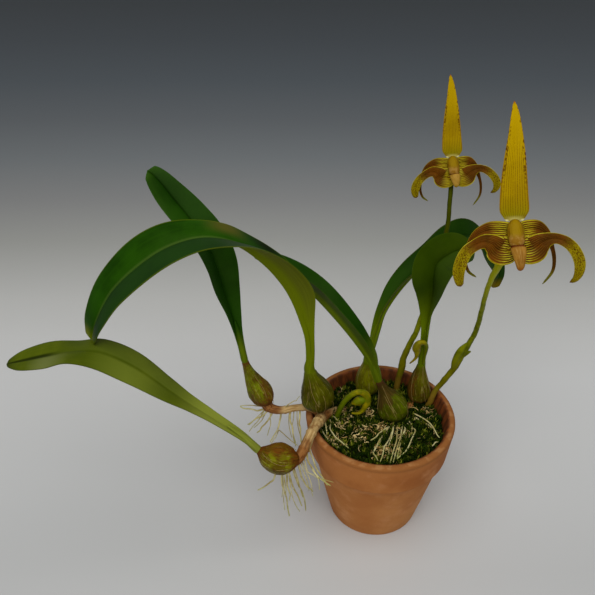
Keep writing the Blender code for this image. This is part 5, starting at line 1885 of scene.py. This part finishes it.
# %% Column and lip finishes
def column_finish():
    """Waxy yellow middle, sides brown and partly painted shade, a paler hollow above its end."""
    finish, shader = new_finish("waxy column", roughness=0.45, gloss=0.1, sheen=WARM_SHEEN)
    place = object_place()
    uv, around, along = uv_place()
    front = abs(around - 0.5)
    streaks = streaky(uv, 30, 3)
    # Brown sides: partly the column's own lined tone, partly painted shade from the petals.
    flank_tone_and_shade = mixed(ramp(streaks, 0.38, 0.62), (98, 68, 4), (130, 100, 4))
    colour = mixed(ramp(front, 0.34, 0.46), flank_tone_and_shade, (134, 105, 0))
    low = ramp(along, 0.44, 0.66) * ramp(front, 0.26, 0.38)
    blush = clouded(place, 420, (124, 82, 20), (152, 112, 54), 0.4, 0.6)
    colour = mixed(low * 0.8, colour, blush)
    # The dark end is partly a brown band, partly painted shadow where the column meets the lip.
    colour = mixed(ramp(along, 0.8, 0.85), colour, (84, 34, 4))
    paint(shader, colour)
    bumped(shader, streaks + noise(place, 500, 3), 0.0004, 0.6)
    return finish


def foot_of_column_finish():
    """Yellow with brown lines, like the roots of the sepals that it joins."""
    finish, shader = new_finish("column foot", gloss=0.15, sheen=WARM_SHEEN)
    _, around, along = uv_place()
    lines = along_lines(along, around, 10, 0.32, 0.8)
    paint(shader, mixed(lines, (92, 58, 4), (150, 128, 8)))
    return finish


def lip_finish(name, deep, light, tip):
    """Salmon tan, paler down its middle and browner at its sides and tip."""
    finish, shader = new_finish(name, gloss=0.12, sheen=WARM_SHEEN)
    place = object_place()
    uv, around, along = uv_place()
    colour = clouded(place, 180, deep, light)
    front = ramp(abs(around - 0.5), 0.24, 0.4)
    colour = mixed((1 - front) * 0.6, colour, (144, 100, 10))
    streaks = streaky(uv, 18, 2, 2)
    colour = mixed(ramp(streaks, 0.48, 0.66) * 0.6, colour, (168, 128, 66))
    colour = mixed(ramp(along, 0.7, 1.0), colour, tip)
    # Dark at its root: partly a brown band, partly painted shadow under the column's end.
    colour = mixed(ramp(along, 0.3, 0.22), colour, (84, 34, 4))
    paint(shader, colour)
    bumped(shader, noise(place, 600, 3), 0.0002, 0.6)
    return finish


# %% [markdown]
# A flat foot of the column shows between the side sepals' roots, striped as they are. It is
# a second stem, flatter than the column, and is joined to it.

# %% The finishes of both blooms
hood_skin = hood_finish()
side_skins = {
    "flower_front": side_sepal_finish("striped side sepal", 0.0),
    "flower_back": side_sepal_finish("pale striped side sepal", 0.4),
}
petal_skin = petal_finish()
column_skin = column_finish()
lip_skins = {
    "flower_front": lip_finish("salmon lip", (124, 82, 22), (150, 106, 36), (134, 76, 12)),
    "flower_back": lip_finish("pale lip", (138, 104, 30), (166, 128, 48), (140, 112, 22)),
}
foot_skin = foot_of_column_finish()
print("finishes of the blooms:", 4 + len(side_skins) + len(lip_skins))

# %% Parts of a bloom
SEPAL_THICKNESS = 0.7
SEPAL_RIB = 1.0


def bloom_blade(bloom, part, keys, finish, bulge, wave):
    """One sepal or petal of a bloom."""
    facing = bloom_pose(bloom) @ Vector((0, -1, 0))
    rows = [(*row[:3], *facing, *row[3:]) for row in placed(keys, bloom)]
    piece = blade(
        f"{bloom}_{part}_skin", rows, 24, 96, SEPAL_THICKNESS, SEPAL_RIB,
        bulge=bulge, wave=wave, waves=4,
    )
    coat(finish, piece)
    hand_over(piece, "petal", f"{bloom}_{part}")


def bloom_stem(bloom, part, keys, finish, along, flat):
    """The column, its foot or the lip of a bloom, with its flat side to the front."""
    facing = bloom_pose(bloom) @ Vector((0, -1, 0))
    piece = stem(f"{bloom}_{part}_skin", placed(keys, bloom), 32, along, flat, facing)
    coat(finish, piece)
    return piece


# %% Making the blooms
for bloom in BLOOMS:
    sepal_droop, petal_droop = BLOOMS[bloom][5:]
    bloom_blade(bloom, "sepal_upright", UPRIGHT_SEPAL, hood_skin, bulge=0.05, wave=0.01)
    for part, keys in (("sepal_right", SIDE_SEPAL_RIGHT), ("sepal_left", SIDE_SEPAL_LEFT)):
        keys = drooped(keys, sepal_droop)
        bloom_blade(bloom, part, keys, side_skins[bloom], bulge=0.10, wave=0.03)
    for part, keys in (("petal_right", PETAL_RIGHT), ("petal_left", PETAL_LEFT)):
        keys = drooped(keys, petal_droop)
        bloom_blade(bloom, part, keys, petal_skin, bulge=0.12, wave=0.04)
    column = bloom_stem(bloom, "column", COLUMN, column_skin, along=48, flat=0.6)
    foot = bloom_stem(bloom, "foot", COLUMN_FOOT, foot_skin, along=32, flat=0.35)
    hand_over(joined(f"{bloom}_column_skin", [column, foot]), "column", f"{bloom}_column")
    lip_keys = shortened(LIP, LIP_LENGTHS[bloom])
    lip = bloom_stem(bloom, "lip", lip_keys, lip_skins[bloom], along=40, flat=0.5)
    hand_over(lip, "lip", f"{bloom}_lip")
